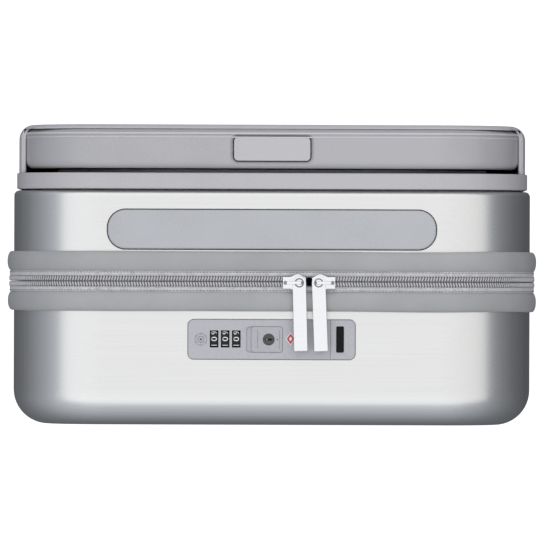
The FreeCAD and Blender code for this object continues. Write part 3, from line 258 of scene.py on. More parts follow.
FILM = brushed_film("brushed_film", (0.672, 0.66, 0.638))
TRIM = moulded("trim_plastic", (0.425, 0.407, 0.414), 0.42, edge=0.0013)
COVER = moulded("cover_plastic", (0.5, 0.483, 0.486), 0.45, 1700, 0.00005, edge=0.0008)
# Dark grey plastic for the buckle's small parts; on the frame lip its darkness is painted shade for
# the gap beside the pull handle.
INNER_AND_SHADE = moulded("inner_plastic_and_painted_shade", (0.2, 0.2, 0.205), 0.5, edge=0.001)
GRIP = moulded("grip_plastic", (0.378, 0.367, 0.371), 0.36, edge=0.0018)
HANDLE = moulded("handle_plastic", (0.402, 0.402, 0.412), 0.33, edge=0.001)
BUTTON = moulded("button_plastic", (0.443, 0.425, 0.43), 0.3)
LOCK = moulded("lock_plastic", (0.4, 0.393, 0.408), 0.36, 1500, 0.00004)
SLIDE = moulded("slide_plastic", (0.376, 0.37, 0.384), 0.36, 1500, 0.00004)
DARK = moulded("dark_plastic", (0.035, 0.035, 0.037), 0.5)
RUBBER = moulded("cap_rubber", (0.0075, 0.008, 0.008), 0.6, Specular_IOR_Level=0.1)
DIAL = moulded("dial_plastic", (0.009, 0.009, 0.01), 0.3, Specular_IOR_Level=0.25)
INK = moulded("numeral_ink", (0.72, 0.71, 0.69), 0.5, edge=0.0)
RED = moulded("red_paint", (0.42, 0.035, 0.045), 0.4, edge=0.0)
SHADOW = moulded("groove_shadow", (0.3, 0.3, 0.33), 0.5, edge=0.0)
PALE = moulded("pale_paint", (0.75, 0.68, 0.68), 0.4, edge=0.0)
BRASS = metal("brass", (0.5, 0.4, 0.26), 0.35)
CASTER = moulded("caster_plastic", (0.16, 0.162, 0.168), 0.48, 1500, 0.00004)
HUB = moulded("hub_plastic", (0.3, 0.3, 0.31), 0.4)
TYRE = moulded("tyre_rubber", (0.045, 0.045, 0.048), 0.68, 1200, 0.00008)
TUBE = metal("drawn_tube", (0.77, 0.775, 0.79), 0.26, (1600, 1600, 4), 1.0)
STEEL = metal("steel", (0.37, 0.365, 0.375), 0.3)
POLISHED = metal("polished_pull", (0.76, 0.757, 0.755), 0.2, (1, 40, 1), 60, edge=0.0006)
# Dark steel for discs on the sliders: painted shade in the pull's ring hole and in the pockets.
SLIDER_SHADE = metal("slider_painted_shade", (0.26, 0.26, 0.265), 0.4)
KEY = metal("key_metal", (0.086, 0.085, 0.085), 0.38)
BAND = soft_band("band_skin", (0.345, 0.339, 0.335))
TAPE = woven("zip_weave", (0.47, 0.458, 0.46), 0.00045)
COIL = moulded("coil_nylon", (0.45, 0.44, 0.44), 0.25, 900, edge=0.0)
BASE = woven("coil_base", (0.21, 0.203, 0.207), 0.00045)
# The black of the zip's gap is painted shade.
GAP_SHADE = moulded("zip_gap", (0.004, 0.004, 0.004), 0.9, Specular_IOR_Level=0.0, edge=0.0)
THREAD = moulded("thread", (0.5, 0.49, 0.49), 0.6, 3000, edge=0.0)
# The darker row of stitches is painted shadow of the stitch holes.
STITCH_SHADOW = moulded("stitch_painted_shadow", (0.14, 0.135, 0.14), 0.6, 3000, edge=0.0)
LINING = woven("lining_weave", (0.12, 0.125, 0.145), 0.0009, 0.6)
NET = netting("pocket_netting", (0.17, 0.175, 0.19))
BINDING = woven("binding_weave", (0.05, 0.05, 0.055), 0.0006)

# The two straps cross, and each weave leans with its own strap.
HALF_STRAP = 206 * MM
STRAP_LEAN = math.atan2(345.0, 240.0)
STRAPS = {"rising": 1, "falling": -1}
WEBBING = {
    word: woven(
        f"webbing_weave_{word}", (0.055, 0.055, 0.06), 0.0013, depth=0.0003, lean=side * STRAP_LEAN
    )
    for word, side in STRAPS.items()
}

FINISH = [
    (FILM, "front_shell rear_shell"),
    (TRIM, "rear_frame"), (COVER, "rear_cover"), (BUTTON, "release_button"),
    (HANDLE, "carry_handle"), (LOCK, "lock_plate"), (SLIDE, "lock_slide"),
    (KEY, "key_cylinder"), (RUBBER, "port_cap"), (WEBBING["rising"], "straps_and_buckle"),
    (TUBE, "outer_tubes mid_tubes inner_tubes"),
    (DARK, "outer_collars mid_collars tube_foot_bracket carry_handle_tray lock_case"),
    (GRIP, "trolley_grip grip_cover"),
    (DIAL, "lock_dial_1 lock_dial_2 lock_dial_3"),
    (STEEL, "rear_cover_screws release_rods button_springs carry_handle_springs"),
    (STEEL, "lock_reset_button front_swivel_pins rear_swivel_pins"),
    (POLISHED, "zip_slider_left zip_slider_right zip_pull_left zip_pull_right"),
    (CASTER, "front_wheel_housings rear_wheel_housings"),
    (LINING, "front_lining rear_lining front_pocket"),
]
for corner in ("front_left", "front_right", "rear_left", "rear_right"):
    FINISH += [
        (CASTER, f"caster_fork_{corner}"), (STEEL, f"caster_axle_{corner}"),
        (HUB, f"wheel_hubs_{corner}"), (TYRE, f"wheel_tyres_{corner}"),
    ]
for material, names in FINISH:
    for name in names.split():
        NODES[name].data.materials.clear()
        NODES[name].data.materials.append(material)


# ------------------------ mesh helpers


def add_object(name, data):
    """An object in the scene."""
    piece = bpy.data.objects.new(name, data)
    bpy.context.collection.objects.link(piece)
    return piece


def stand_for(node, piece, body):
    """Puts a piece on a body, in a CAD piece's place."""
    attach(piece, body)
    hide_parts(node)


def build(name, vertices, faces, material, body, smooth=True):
    """A mesh piece, which rides on a body if one is named."""
    mesh = bpy.data.meshes.new(name)
    mesh.from_pydata([tuple(v) for v in vertices], [], faces)
    mesh.validate()
    mesh.materials.append(material)
    cleaner = bmesh.new()
    cleaner.from_mesh(mesh)
    bmesh.ops.recalc_face_normals(cleaner, faces=cleaner.faces)
    cleaner.to_mesh(mesh)
    cleaner.free()
    for face in mesh.polygons:
        face.use_smooth = smooth
    piece = add_object(name, mesh)
    if body:
        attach(piece, body)
    return piece


def outline(half, low, high, radius, step):
    """Points and outward normals round a rounded rectangle in X and Z."""
    middles = [
        (half - radius, low + radius, -90), (half - radius, high - radius, 0),
        (radius - half, high - radius, 90), (radius - half, low + radius, 180),
    ]
    stations = []
    for number, (x, z, start) in enumerate(middles):
        turns = max(6, round(radius * math.pi / 2 / step))
        for turn in range(turns):
            angle = math.radians(start + 90 * turn / turns)
            normal = Vector((math.cos(angle), 0, math.sin(angle)))
            stations.append((Vector((x, 0, z)) + normal * radius, normal))
        end = math.radians(start + 90)
        normal = Vector((math.cos(end), 0, math.sin(end)))
        here = Vector((x, 0, z)) + normal * radius
        next_x, next_z, _ = middles[(number + 1) % 4]
        there = Vector((next_x, 0, next_z)) + normal * radius
        count = max(1, round((there - here).length / step))
        stations += [(here.lerp(there, i / count), normal) for i in range(count)]
    return stations


def shell_outline(offset, step):
    return outline(HALF + offset, LOW - offset, HIGH + offset, CORNER + offset, step)


def strip(name, rings, material, body, capped=True, closed=False, smooth=True):
    """A mesh lofted through rings of as many points, back to the first ring if closed."""
    wide, long = len(rings[0]), len(rings)
    vertices = [point for ring in rings for point in ring]
    faces = []
    for i in range(long if closed else long - 1):
        for j in range(wide):
            here, there, m = i * wide, (i + 1) % long * wide, (j + 1) % wide
            faces.append((here + j, here + m, there + m, there + j))
    if capped:
        faces.append(tuple(range(wide)))
        faces.append(tuple((long - 1) * wide + i for i in reversed(range(wide))))
    return build(name, vertices, faces, material, body, smooth)


def sweep(name, stations, profile, material, body, sway=None, closed=True):
    """Sweeps a closed profile of (Y, height off the line) along stations."""
    rings = []
    for place, normal in stations:
        ring = []
        for y, height in profile:
            shift, swell = sway(place, y) if sway else (0.0, 1.0)
            ring.append(place + normal * height * swell + Vector((0, y + shift, 0)))
        rings.append(ring)
    return strip(name, rings, material, body, not closed, closed)


def grid_faces(rows, columns):
    """The faces of a grid whose points are listed row by row."""
    starts = [row * (columns + 1) + column for row in range(rows) for column in range(columns)]
    return [(a, a + 1, a + columns + 2, a + columns + 1) for a in starts]


def directed(stations):
    """Each station's point and normal, with the direction to the next station."""
    for index, (place, normal) in enumerate(stations):
        following = stations[(index + 1) % len(stations)][0]
        yield place, normal, (following - place).normalized()


def rounded_profile(y0, y1, low, high, radius, crown=0.0):
    """A closed profile with rounded upper corners, raised a little along its middle."""
    steps, crown_steps = 5, 4
    quarter = math.pi / 2

    def corner(centre, angle):
        return centre + radius * math.cos(angle), high - radius + radius * math.sin(angle)

    points = [(y0, low), (y0, high - radius)]
    points += [corner(y0 + radius, math.pi - quarter * i / steps) for i in range(1, steps + 1)]
    for i in range(1, crown_steps):
        share = i / crown_steps
        y = (y0 + radius) * (1 - share) + (y1 - radius) * share
        points.append((y, high + crown * math.sin(math.pi * share)))
    points += [corner(y1 - radius, quarter - quarter * i / steps) for i in range(steps + 1)]
    points.append((y1, low))
    return points


def pillow_profile(y0, y1, low, high):
    """A closed profile that bulges between its two edges, like a stuffed piping."""
    steps, fullness, edge_height, rise = 20, 2.1, 0.34, 0.66
    middle, half = (y0 + y1) / 2, (y1 - y0) / 2
    points = [(y0, low)]
    for i in range(steps + 1):
        share = -math.cos(math.pi * i / steps)
        bulge = (1 - abs(share) ** fullness) ** 0.5
        points.append((middle + half * share, high * (edge_height + rise * bulge)))
    points.append((y1, low))
    return points


def bead(vertices, faces, start, end, up, wide, high, sections=4, sides=6):
    """Adds a rounded bar from start to end, flattened to a width and a height."""
    tip, span = 0.12, 0.76  # the part of a half turn that the bar's girth follows
    along = (end - start).normalized()
    side = along.cross(up).normalized()
    first = len(vertices)
    for section in range(sections + 1):
        share = section / sections
        girth = math.sin(math.pi * (tip + span * share)) ** 0.5
        middle = start.lerp(end, share)
        for corner in range(sides):
            angle = 2 * math.pi * corner / sides
            aside = side * (math.cos(angle) * wide / 2 * girth)
            vertices.append(middle + aside + up * (math.sin(angle) * high / 2 * girth))
    for section in range(sections):
        for corner in range(sides):
            a = first + section * sides + corner
            b = first + section * sides + (corner + 1) % sides
            faces.append((a, b, b + sides, a + sides))
    faces.append(tuple(first + i for i in range(sides)))
    faces.append(tuple(first + sections * sides + i for i in reversed(range(sides))))


def smooth_step(value, low, high):
    """Rises gently from 0 to 1 as a value goes from low to high."""
    share = min(1.0, max(0.0, (value - low) / (high - low)))
    return share * share * (3 - 2 * share)


# ------------------------ bands and zip


def slow(place, seed, length):
    """Smooth noise along the case, from -1 to 1."""
    return noise.noise(Vector((place.x / length + seed, seed * 1.7, place.z / length)))


def make_bands():
    """Padded bands over the shells' lips, a little uneven in their edges and height."""
    outer_drift, inner_drift, edge_width = 0.9 * MM, 0.4 * MM, 5 * MM
    inset, sunk, height, step = 0.1 * MM, -0.2 * MM, 4.4 * MM, 5 * MM
    for seed, (name, body) in enumerate((("rear_band", "rear_case"), ("front_band", "front_case"))):
        low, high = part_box(name)
        middle = (low[1] + high[1]) / 2

        def sway(place, y, seed=seed, middle=middle):
            edge = 1 if y > middle else -1
            drift = outer_drift if (y > middle) == (seed == 0) else inner_drift
            share = min(1.0, abs(y - middle) / edge_width)
            shift = drift * share * slow(place, 3.1 * seed + 0.7 * edge, 0.09)
            return shift, 1 + 0.06 * slow(place, 9.4 + seed, 0.05)

        profile = pillow_profile(low[1] + inset, high[1] - inset, sunk, height)
        stations = shell_outline(0, step)
        band = sweep(f"{name}_skin", stations, profile, BAND, body, sway)
        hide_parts(name)


def on_bare_side(place):
    """True along the straight +X side, where the halves are joined by fabric, not by the zip."""
    return place.x > HALF - 2 * MM and abs(place.z - (LOW + HIGH) / 2) < BARE_REACH


def parted(place):
    """True between the two sliders, where the teeth are not joined."""
    return place.z > HIGH and SLIDERS[0] - MM < place.x < SLIDERS[1] + MM


def off_zip(way, distance):
    """The level in Y at a distance in millimetres from the zip, to the rear (1) or front (-1)."""
    return ZIP_Y + way * distance * MM


def zip_strip(name, way, body, material, span, levels, radius, crown=0.0):
    """A flat strip round the case. All its sizes are in millimetres."""
    near, far = sorted(off_zip(way, distance) for distance in span)
    low, high = (level * MM for level in levels)
    profile = rounded_profile(near, far, low, high, radius * MM, crown * MM)
    return sweep(name, shell_outline(0, 5 * MM), profile, material, body)


def zip_teeth(name, way, body):
    """Slanted nylon teeth, except along the bare side and between the sliders."""
    height, pitch, slant, wide, tall = 2.6 * MM, 1.95 * MM, 0.5, 1.4 * MM, 1.3 * MM
    (near, near_lift), (far, far_lift) = (0.35, 0.1), (3.4, 0.25)
    vertices, faces = [], []
    for place, normal, along in directed(shell_outline(height, pitch)):
        if on_bare_side(place) or parted(place):
            continue
        lean = along * slant * MM
        inner = place + Vector((0, off_zip(way, near), 0)) + normal * near_lift * MM
        outer = place + Vector((0, off_zip(way, far), 0)) + normal * far_lift * MM
        bead(vertices, faces, inner + lean, outer - lean, normal, wide, tall)
    build(name, vertices, faces, COIL, body)


def zip_gap(name, way, body):
    """Half of a black filler in the opening between the sliders: painted shade for the dark inside
    of the case.
    """
    start, end = SLIDERS[0] + 0.15 * MM, SLIDERS[1] - 0.15 * MM
    steps, middle, reach, taper = 6, 3, 3.0 * MM, 0.5 * MM
    section = ((0.02, 1.6), (0.02, 2.5), (0.5, 2.62), (1.0, 2.45), (1.0, 1.6))
    rings = []
    for step in range(steps + 1):
        x = start + (end - start) * step / steps
        wide = reach - taper * abs(step - middle) / middle
        rings.append([Vector((x, ZIP_Y + way * dy * wide, HIGH + dz * MM)) for dy, dz in section])
    strip(name, rings, GAP_SHADE, body)


def zip_stitches(name, way, body, cotton, distance, pitch, height):
    """A row of stitches. Its distance from the zip, pitch and height are in millimetres."""
    wide, tall, filled = 0.55 * MM, 0.4 * MM, 0.3
    vertices, faces = [], []
    for place, normal, along in directed(shell_outline(height * MM, pitch * MM)):
        middle = place + Vector((0, off_zip(way, distance), 0))
        reach = along * pitch * filled * MM
        bead(vertices, faces, middle - reach, middle + reach, normal, wide, tall, 3, 5)
    build(f"{name}_{cotton.name}", vertices, faces, cotton, body)


def make_zip():
    """Each half's tape, the dark cloth under its teeth, its teeth, a gap filled black as painted
    shade, a pale row of stitches and a dark row that is painted stitch shadow.
    """
    for half, way in (("rear", 1), ("front", -1)):
        name, body = f"{half}_zip_tape", f"{half}_case"
        tape = zip_strip(f"{name}_weave", way, body, TAPE, (3.8, 7.2), (1.85, 2.85), 0.4, 0.15)
        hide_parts(name)
        zip_strip(f"{name}_core", way, body, BASE, (0.1, 4.6), (1.6, 2.1), 0.2)
        zip_teeth(f"{name}_teeth", way, body)
        zip_gap(f"{name}_gap", way, body)
        zip_stitches(name, way, body, THREAD, 3.75, 1.95, 2.85)
        # This dark row is painted shadow of the stitch holes.
        zip_stitches(name, way, body, STITCH_SHADOW, 6.25, 2.3, 2.95)


def frame_arch(low, high, corner):
    """Stations over the top of the rear cover, from left to right."""
    arch_half, step = 0.168, 4 * MM
    arch = outline(high[0], low[2], high[2], corner, step)
    top = [s for s in arch if s[0].z > high[2] - corner and abs(s[0].x) < arch_half]
    return sorted(top, key=lambda station: station[0].x)


def make_liner():
    """Lips inside the rear frame that the pull handle slides past, and caps on the side walls."""
    low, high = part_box("rear_cover")
    corner, back_round, wall_top = 60 * MM, 10 * MM, 498 * MM
    top = frame_arch(low, high, corner)
    back, grip_near, rim = high[1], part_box("trolley_grip")[0][1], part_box("rear_frame")[1][1]

    def sink(place, y):
        return 0.0, 1 + 1.6 * smooth_step(abs(place.x), 0.07, 0.15)

    profile = rounded_profile(rim - 0.4 * MM, grip_near - 0.6 * MM, -26 * MM, -8 * MM, 0.5 * MM)
    # The lip's dark tone is painted shade for the gap beside the pull handle.
    sweep("frame_lip", top, profile, INNER_AND_SHADE, "rear_case", sink, closed=False)
    profile = rounded_profile(back - 3.15 * MM, back - 2.1 * MM, -3 * MM, 0.3 * MM, 0.3 * MM)
    sweep("cover_lip", top, profile, COVER, "rear_case", closed=False)
    edge = high[0] - corner + math.sqrt(corner**2 - (wall_top - high[2] + corner) ** 2)
    section = (
        (0.1, -1.2), (0.02, 0.15), (0.35, 0.65), (0.9, 0.8),
        (1.5, 0.8), (2.0, 0.6), (2.25, 0.1), (2.2, -1.2),
    )
    steps = 24
    for side, word in ((-1, "left"), (1, "right")):
        rings = []
        for step in range(steps + 1):
            y = rim - 0.2 * MM + (back - 1.0 * MM - rim) * step / steps
            past = max(0.0, y - back + back_round)
            wall = edge - (back_round - math.sqrt(back_round**2 - past**2))
            rings.append([
                Vector((side * (wall - dx * MM), y, wall_top + dz * MM)) for dx, dz in section
            ])
        strip(f"wall_cap_{word}", rings, COVER, "rear_case")


def make_grip_ridges():
    """Two low ridges round the back edge of the pull handle."""
    low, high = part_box("trolley_grip")
    corner, below, centre_z, sunk, steps = 58 * MM, 0.2, 0.3, -0.3 * MM, 8
    arch = outline(high[0], low[2] - below, high[2], corner, 3 * MM)
    arch = [s for s in arch if s[0].z > low[2] + 2 * MM]
    arch.sort(key=lambda s: math.atan2(s[0].x, s[0].z - centre_z))
    ridges = ((3.6 * MM, 1.5 * MM, 0.42 * MM), (6.0 * MM, 1.0 * MM, 0.25 * MM))
    for number, (inward, wide, tall) in enumerate(ridges, 1):
        level = high[1] - inward
        profile = [(level, sunk)]
        for i in range(steps + 1):
            angle = math.pi * i / steps
            y = level + wide / 2 - wide / 2 * math.cos(angle)
            profile.append((y, tall * math.sin(angle)))
        profile.append((level + wide, sunk))
        sweep(f"grip_ridge_{number}", arch, profile, COVER, "pull_handle", closed=False)


def make_hinge_cloth():
    """The fabric that joins the halves along the hinge side."""
    middle, rows, columns = (LOW + HIGH) / 2, 92, 14
    flat_wide, half_wide, blend_reach, thickness = 13.4 * MM, 6.6, 5.5 * MM, 0.5 * MM
    lift, crown, wave = 3.35 * MM, 0.25 * MM, 0.22 * MM
    vertices = []
    for row in range(rows + 1):
        z = middle - HINGE_REACH + 2 * HINGE_REACH * row / rows
        for column in range(columns + 1):
            share = column / columns * 2 - 1
            y = ZIP_Y + share * half_wide * MM
            uneven = 1 + noise.noise(Vector((z * 60, 3.3, share)))
            ripple = wave * math.cos(3 * math.pi * share) * uneven
            x = HALF + lift + crown * (1 - share * share) + ripple
            vertices.append(Vector((x, y, z)))
    cloth = build("hinge_cloth", vertices, grid_faces(rows, columns), TAPE, None)
    cloth.modifiers.new("thickness", "SOLIDIFY").thickness = thickness
    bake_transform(cloth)


make_bands()
make_zip()
make_liner()
make_grip_ridges()
make_hinge_cloth()


# ------------------------ lock


def glyph_shape(digit):
    """A digit as points about its middle, one unit tall, and its faces."""
    curve = bpy.data.curves.new("glyph", "FONT")
    curve.body = str(digit)
    curve.size = 1.0
    curve.align_x, curve.align_y = "CENTER", "CENTER"
    curve.resolution_u = 3
    holder = bpy.data.objects.new("glyph", curve)
    mesh = bpy.data.meshes.new_from_object(holder)
    xs = [v.co.x for v in mesh.vertices]
    ys = [v.co.y for v in mesh.vertices]
    middle_x, middle_y = (min(xs) + max(xs)) / 2, (min(ys) + max(ys)) / 2
    tall = max(ys) - min(ys)
    points = [((x - middle_x) / tall, (y - middle_y) / tall) for x, y in zip(xs, ys)]
    faces = [tuple(face.vertices) for face in mesh.polygons]
    bpy.data.objects.remove(holder)
    bpy.data.curves.remove(curve)
    bpy.data.meshes.remove(mesh)
    return points, faces


def make_numerals():
    """Ten pale numerals round each dial, set on their sides as the dials are read."""
    digits, tall, wide, widen, lift = 10, 3.9 * MM, 4.1 * MM, 1.15, 0.04 * MM
    for number in (1, 2, 3):
        low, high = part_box(f"lock_dial_{number}")
        middle = (Vector(low) + Vector(high)) / 2
        radius = (high[2] - low[2]) / 2
        reach = radius + lift
        vertices, faces = [], []
        for digit in range(digits):
            points, outlines = glyph_shape(digit)
            base = math.radians(-360 / digits * digit)
            first = len(vertices)
            for gx, gy in points:
                angle = base + gx * wide * widen / radius
                spot = Vector((-gy * tall, math.sin(angle) * reach, math.cos(angle) * reach))
                vertices.append(middle + spot)
            faces += [tuple(first + i for i in face) for face in outlines]
        build(f"numerals_{number}", vertices, faces, INK, f"dial_{number}", smooth=False)


def disc(name, place, radii, high, material, body, slot, sides=40, tall=1.0):
    """A flat ring that stands a little off a face, stretched in Y. Radii are in millimetres."""
    x, y, z = place
    inner, outer = (radius * MM for radius in radii)
    high = high * MM
    rings = [
        [
            Vector((x + radius * math.cos(angle), y + radius * math.sin(angle) * tall, level))
            for angle in (2 * math.pi * i / sides for i in range(sides))
        ]
        for radius, level in (
            (outer, z), (outer - high * 0.3, z + high), (inner, z + high), (inner, z)
        )
    ]
    return strip(name, rings, material, body, capped=False, closed=True, smooth=False)


def soften_copy(node, name, radius, body, turn=0.0, pivot=None):
    """A polished copy of a CAD piece with real rounded edges, which stands for it."""
    mesh = NODES[node].data.copy()
    mesh.name = name
    shape = bmesh.new()
    shape.from_mesh(mesh)
    bmesh.ops.remove_doubles(shape, verts=shape.verts, dist=1e-6)
    bmesh.ops.dissolve_limit(
        shape, angle_limit=math.radians(1), verts=shape.verts, edges=shape.edges
    )
    sharp = [
        edge for edge in shape.edges
        if len(edge.link_faces) == 2 and edge.calc_face_angle(0) > math.radians(50)
    ]
    bmesh.ops.bevel(
        shape, geom=sharp, offset=radius, segments=3, profile=0.5, affect="EDGES",
        clamp_overlap=True,
    )
    if pivot is not None:
        about_z = Matrix.Rotation(math.radians(turn), 3, "Z")
        bmesh.ops.rotate(shape, cent=pivot, matrix=about_z, verts=shape.verts)
    shape.to_mesh(mesh)
    shape.free()
    mesh.materials.clear()
    mesh.materials.append(POLISHED)
    for face in mesh.polygons:
        face.use_smooth = True
    piece = add_object(name, mesh)
    piece.modifiers.new("normals", "WEIGHTED_NORMAL").keep_sharp = True
    stand_for(node, piece, body)


def make_pulls():
    """Sliders with rounded edges, pulls that hang a little askew from them, and dark discs on the
    sliders that are painted shade in the ring hole and the pockets.
    """
    ring_radii, dot_radii, ring_high, dot_high = (2.35, 3.3), (0.01, 1.25), 0.1, 0.12
    for side, turn, out in (("left", 1.5, -1), ("right", 2.2, 1)):
        pull, slider, body = f"zip_pull_{side}", f"zip_slider_{side}", f"slider_{side}"
        low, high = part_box(pull)
        eye = Vector(((low[0] + high[0]) / 2, high[1] - (high[0] - low[0]) / 2, high[2]))
        soften_copy(pull, f"pull_plate_{side}", 0.45 * MM, f"pull_{side}", turn, eye)
        soften_copy(slider, f"slider_body_{side}", 0.3 * MM, body)
        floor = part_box(slider)[0][2] + 1.2 * MM - 0.02 * MM
        place = (eye.x, eye.y, floor)
        # Painted shade in the pull's ring hole and in the slider's pockets.
        disc(f"slider_ring_{side}", place, ring_radii, ring_high, SLIDER_SHADE, body, "pull")
        for word, x in (("outer", eye.x + out * 9.7 * MM), ("inner", eye.x - out * 2.6 * MM)):
            disc(
                f"slider_pocket_{side}_{word}", (x, eye.y, floor), dot_radii, dot_high,
                SLIDER_SHADE, body, "pull", 24, 1.15,
            )


def make_lock_marks():
    """The lock's small marks, the reset button's hexagon and pin, and the key's pin."""
    dot, lift, low_lift, sunk = 0.01, 0.12, 0.05, 0.02 * MM  # a dot is a ring with no hole to see
    top, slide_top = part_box("lock_plate")[1][2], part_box("lock_slide")[1][2]
    key_low, key_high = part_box("key_cylinder")
    key = (Vector(key_low) + Vector(key_high)) / 2
    place = (key.x + 6.0 * MM, key.y, slide_top)
    disc("slide_dot", place, (dot, 0.55), lift, RED, "slide", "lock", 20)

    # A diamond is a ring of four sides that is taller than it is wide.
    place = (13.1 * MM, key.y + 0.5 * MM, top - 0.01 * MM)
    diamond = {"body": "front_case", "slot": "lock", "sides": 4, "tall": 1.36}
    disc("lock_mark_pale", place, (dot, 3.3), lift * 0.6, PALE, **diamond)
    disc("lock_mark", place, (1.25, 2.75), lift, RED, **diamond)

    low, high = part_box("lock_reset_button")
    x, y = (low[0] + high[0]) / 2, (low[1] + high[1]) / 2
    disc("reset_pin", (x, y, high[2] - sunk), (dot, 0.5), low_lift, DARK, "reset", "lock", 16)
    place = (x, y, top - sunk)
    disc("reset_ring", place, (4.3, 4.75), low_lift, SHADOW, "front_case", "lock", 6)
    place = (key.x - 1.3 * MM, key.y, key_high[2] - 0.9 * MM)
    disc("key_pin", place, (dot, 0.62), 0.5, BRASS, "key", "lock", 16)


make_numerals()
make_pulls()
make_lock_marks()


# ------------------------ inside


def make_way(point, low, high):
    """How far the lining dips at a point, to pass under a housing that hangs from the top."""
    margin, clear = 12 * MM, 4 * MM
    aside = max(low[0] - point.x, point.x - high[0], low[1] - point.y, point.y - high[1], 0.0)
    return (1 - smooth_step(aside, clear, margin)) * max(0.0, point.z - low[2] + clear)


def lining_levels(depth, bend):
    """Rings from a lining's lip to its floor's middle: inset, shrink and distance from the lip."""
    wall_steps, bend_steps, floor_steps, floor_shrink = 18, 6, 16, 0.06
    levels = [(0.0, 0.0, (depth - bend) * i / wall_steps) for i in range(wall_steps + 1)]
    for i in range(1, bend_steps + 1):
        angle = math.pi / 2 * i / bend_steps
        levels.append((bend * (1 - math.cos(angle)), 0.0, depth - bend + bend * math.sin(angle)))
    return levels + [(bend, floor_shrink * i, depth) for i in range(1, floor_steps + 1)]


def cloth_lift(point, far, seed):
    """Soft folds and finer creases of a loose cloth, by place and distance from its lip."""
    folds, folds_far, fold_high = 26, 60, 0.9
    creases, creases_far, crease_high = 75, 90, 0.45
    fold = noise.noise(Vector((point.x * folds + seed, far * folds_far, point.z * folds)))
    crease = noise.noise(Vector((point.x * creases, far * creases_far + seed, point.z * creases)))
    return (fold_high * fold + crease_high * crease) * MM


def make_lining(half, lip, back, seed, housing):
    """A loose fabric tray inside a shell, slack enough to fold softly, with a bound edge."""
    name, body = f"{half}_lining", f"{half}_case"
    inset_all, bend, slack_from = 4.6 * MM, 16 * MM, 12 * MM
    off_wall, wall_lowest, floor_lowest = 0.3 * MM, -0.4 * MM, -0.6 * MM
    edge = shell_outline(-inset_all, 4 * MM)
    housing_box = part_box(housing)
    centre = Vector((0, 0, (LOW + HIGH) / 2))
    way = 1 if back > lip else -1
    depth = abs(back - lip)
    rings = []
    for inset, shrink, far in lining_levels(depth, bend):
        slack = smooth_step(far, 0, slack_from)
        inward = 1 - smooth_step(inset, 0, bend)
        ring = []
        for place, normal in edge:
            point = centre + (place - normal * inset - centre) * (1 - shrink)
            lift = cloth_lift(point, far, seed) * slack
            wall_lift = max(lift, wall_lowest) + off_wall
            floor_lift = max(lift, floor_lowest)
            y = lip + way * (far - floor_lift * (1 - inward))
            point = point - normal * wall_lift * inward + Vector((0, y, 0))
            ring.append(point - Vector((0, 0, make_way(point, *housing_box))))
        rings.append(ring)
    cloth = strip(f"{name}_cloth", rings, LINING, body, capped=False)
    cloth.modifiers.new("thickness", "SOLIDIFY").thickness = 0.5 * MM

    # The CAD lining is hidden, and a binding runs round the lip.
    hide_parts(name)
    start, end = sorted((lip - way * 0.2 * MM, lip + way * 5 * MM))
    profile = rounded_profile(start, end, -6.0 * MM, -3.6 * MM, 0.8 * MM, 0.2 * MM)
    sweep(f"{name}_binding", shell_outline(0, 5 * MM), profile, BINDING, body)


def plate(name, place, half, thick, radius, material, lean=0.0, body="rear_case"):
    """A rounded plate in X and Z with soft edges. All its sizes are in millimetres."""
    turn = Matrix.Rotation(lean, 3, "Y")
    front, back = thick
    soft = min(0.7, (back - front) * 0.3)
    line = outline(half[0] * MM, -half[1] * MM, half[1] * MM, radius * MM, 1.5 * MM)
    rings = []
    for y, shrink in (
        (front, soft), (front + soft * 0.3, soft * 0.3), (front + soft, 0.0),
        (back - soft, 0.0), (back - soft * 0.3, soft * 0.3), (back, soft),
    ):
        start = Vector(place)
        rings.append([
            start + turn @ (point - normal * shrink * MM) + Vector((0, y * MM, 0))
            for point, normal in line
        ])
    return strip(name, rings, material, body)


def make_pocket():
    """A netting pocket on the front half: bound all round, with a zip along its top."""
    low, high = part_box("front_pocket")
    columns, rows, inset = 56, 46, 1.5 * MM
    middle = (low[2] + high[2]) / 2
    half_x, half_z, front = high[0], (high[2] - low[2]) / 2, high[1]
    vertices = []
    for row in range(rows + 1):
        v = row / rows * 2 - 1
        for column in range(columns + 1):
            u = column / columns * 2 - 1
            full = (1 - u * u) * (1 - v * v)
            sag = 1.6 * full + 0.5 * full**0.5 * noise.noise(Vector((u * 5, v * 4, 7.7)))
            place = (u * (half_x - inset), front + (sag - 0.9) * MM, middle + v * (half_z - inset))
            vertices.append(Vector(place))
    net = build("pocket_net", vertices, grid_faces(rows, columns), NET, "front_case")
    net.modifiers.new("thickness", "SOLIDIFY").thickness = 0.3 * MM
    profile = rounded_profile(front - 2.2 * MM, front + 0.9 * MM, -9 * MM, 0.0, 0.9 * MM, 0.3 * MM)
    frame_line = outline(half_x, low[2], high[2], 12 * MM, 5 * MM)
    border = sweep("pocket_binding", frame_line, profile, BINDING, "front_case")

    line = high[2] - 16 * MM
    count, pitch, first_x = 176, 1.4 * MM, -0.123
    outwards = Vector((0, 1, 0))
    vertices, faces = [], []
    for index in range(count):
        for side in (-1, 1):
            start = Vector((first_x + index * pitch, front + 1.1 * MM, line + side * 0.2 * MM))
            end = start + Vector((0.5 * MM, 0, side * 1.9 * MM))
            bead(vertices, faces, start, end, outwards, 0.95 * MM, 0.9 * MM, 3, 5)
    teeth = build("pocket_teeth", vertices, faces, DARK, "front_case")
    section = ((-0.6, -7), (0.45, -6.6), (0.75, 0), (0.45, 6.6), (-0.6, 7))
    reach, steps = 0.13, 60
    rings = []
    for step in range(steps + 1):
        x = -reach + 2 * reach * step / steps
        rings.append([Vector((x, front + dy * MM, line + dz * MM)) for dy, dz in section])
    tape = strip("pocket_zip_tape", rings, BINDING, "front_case")
    place = (0.118, front + 1.6 * MM, line)
    pull = plate(
        "pocket_zip_pull", place, (4.5, 2.4), (0, 1.6), 1.1, STEEL, body="front_case"
    )
    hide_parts("front_pocket")


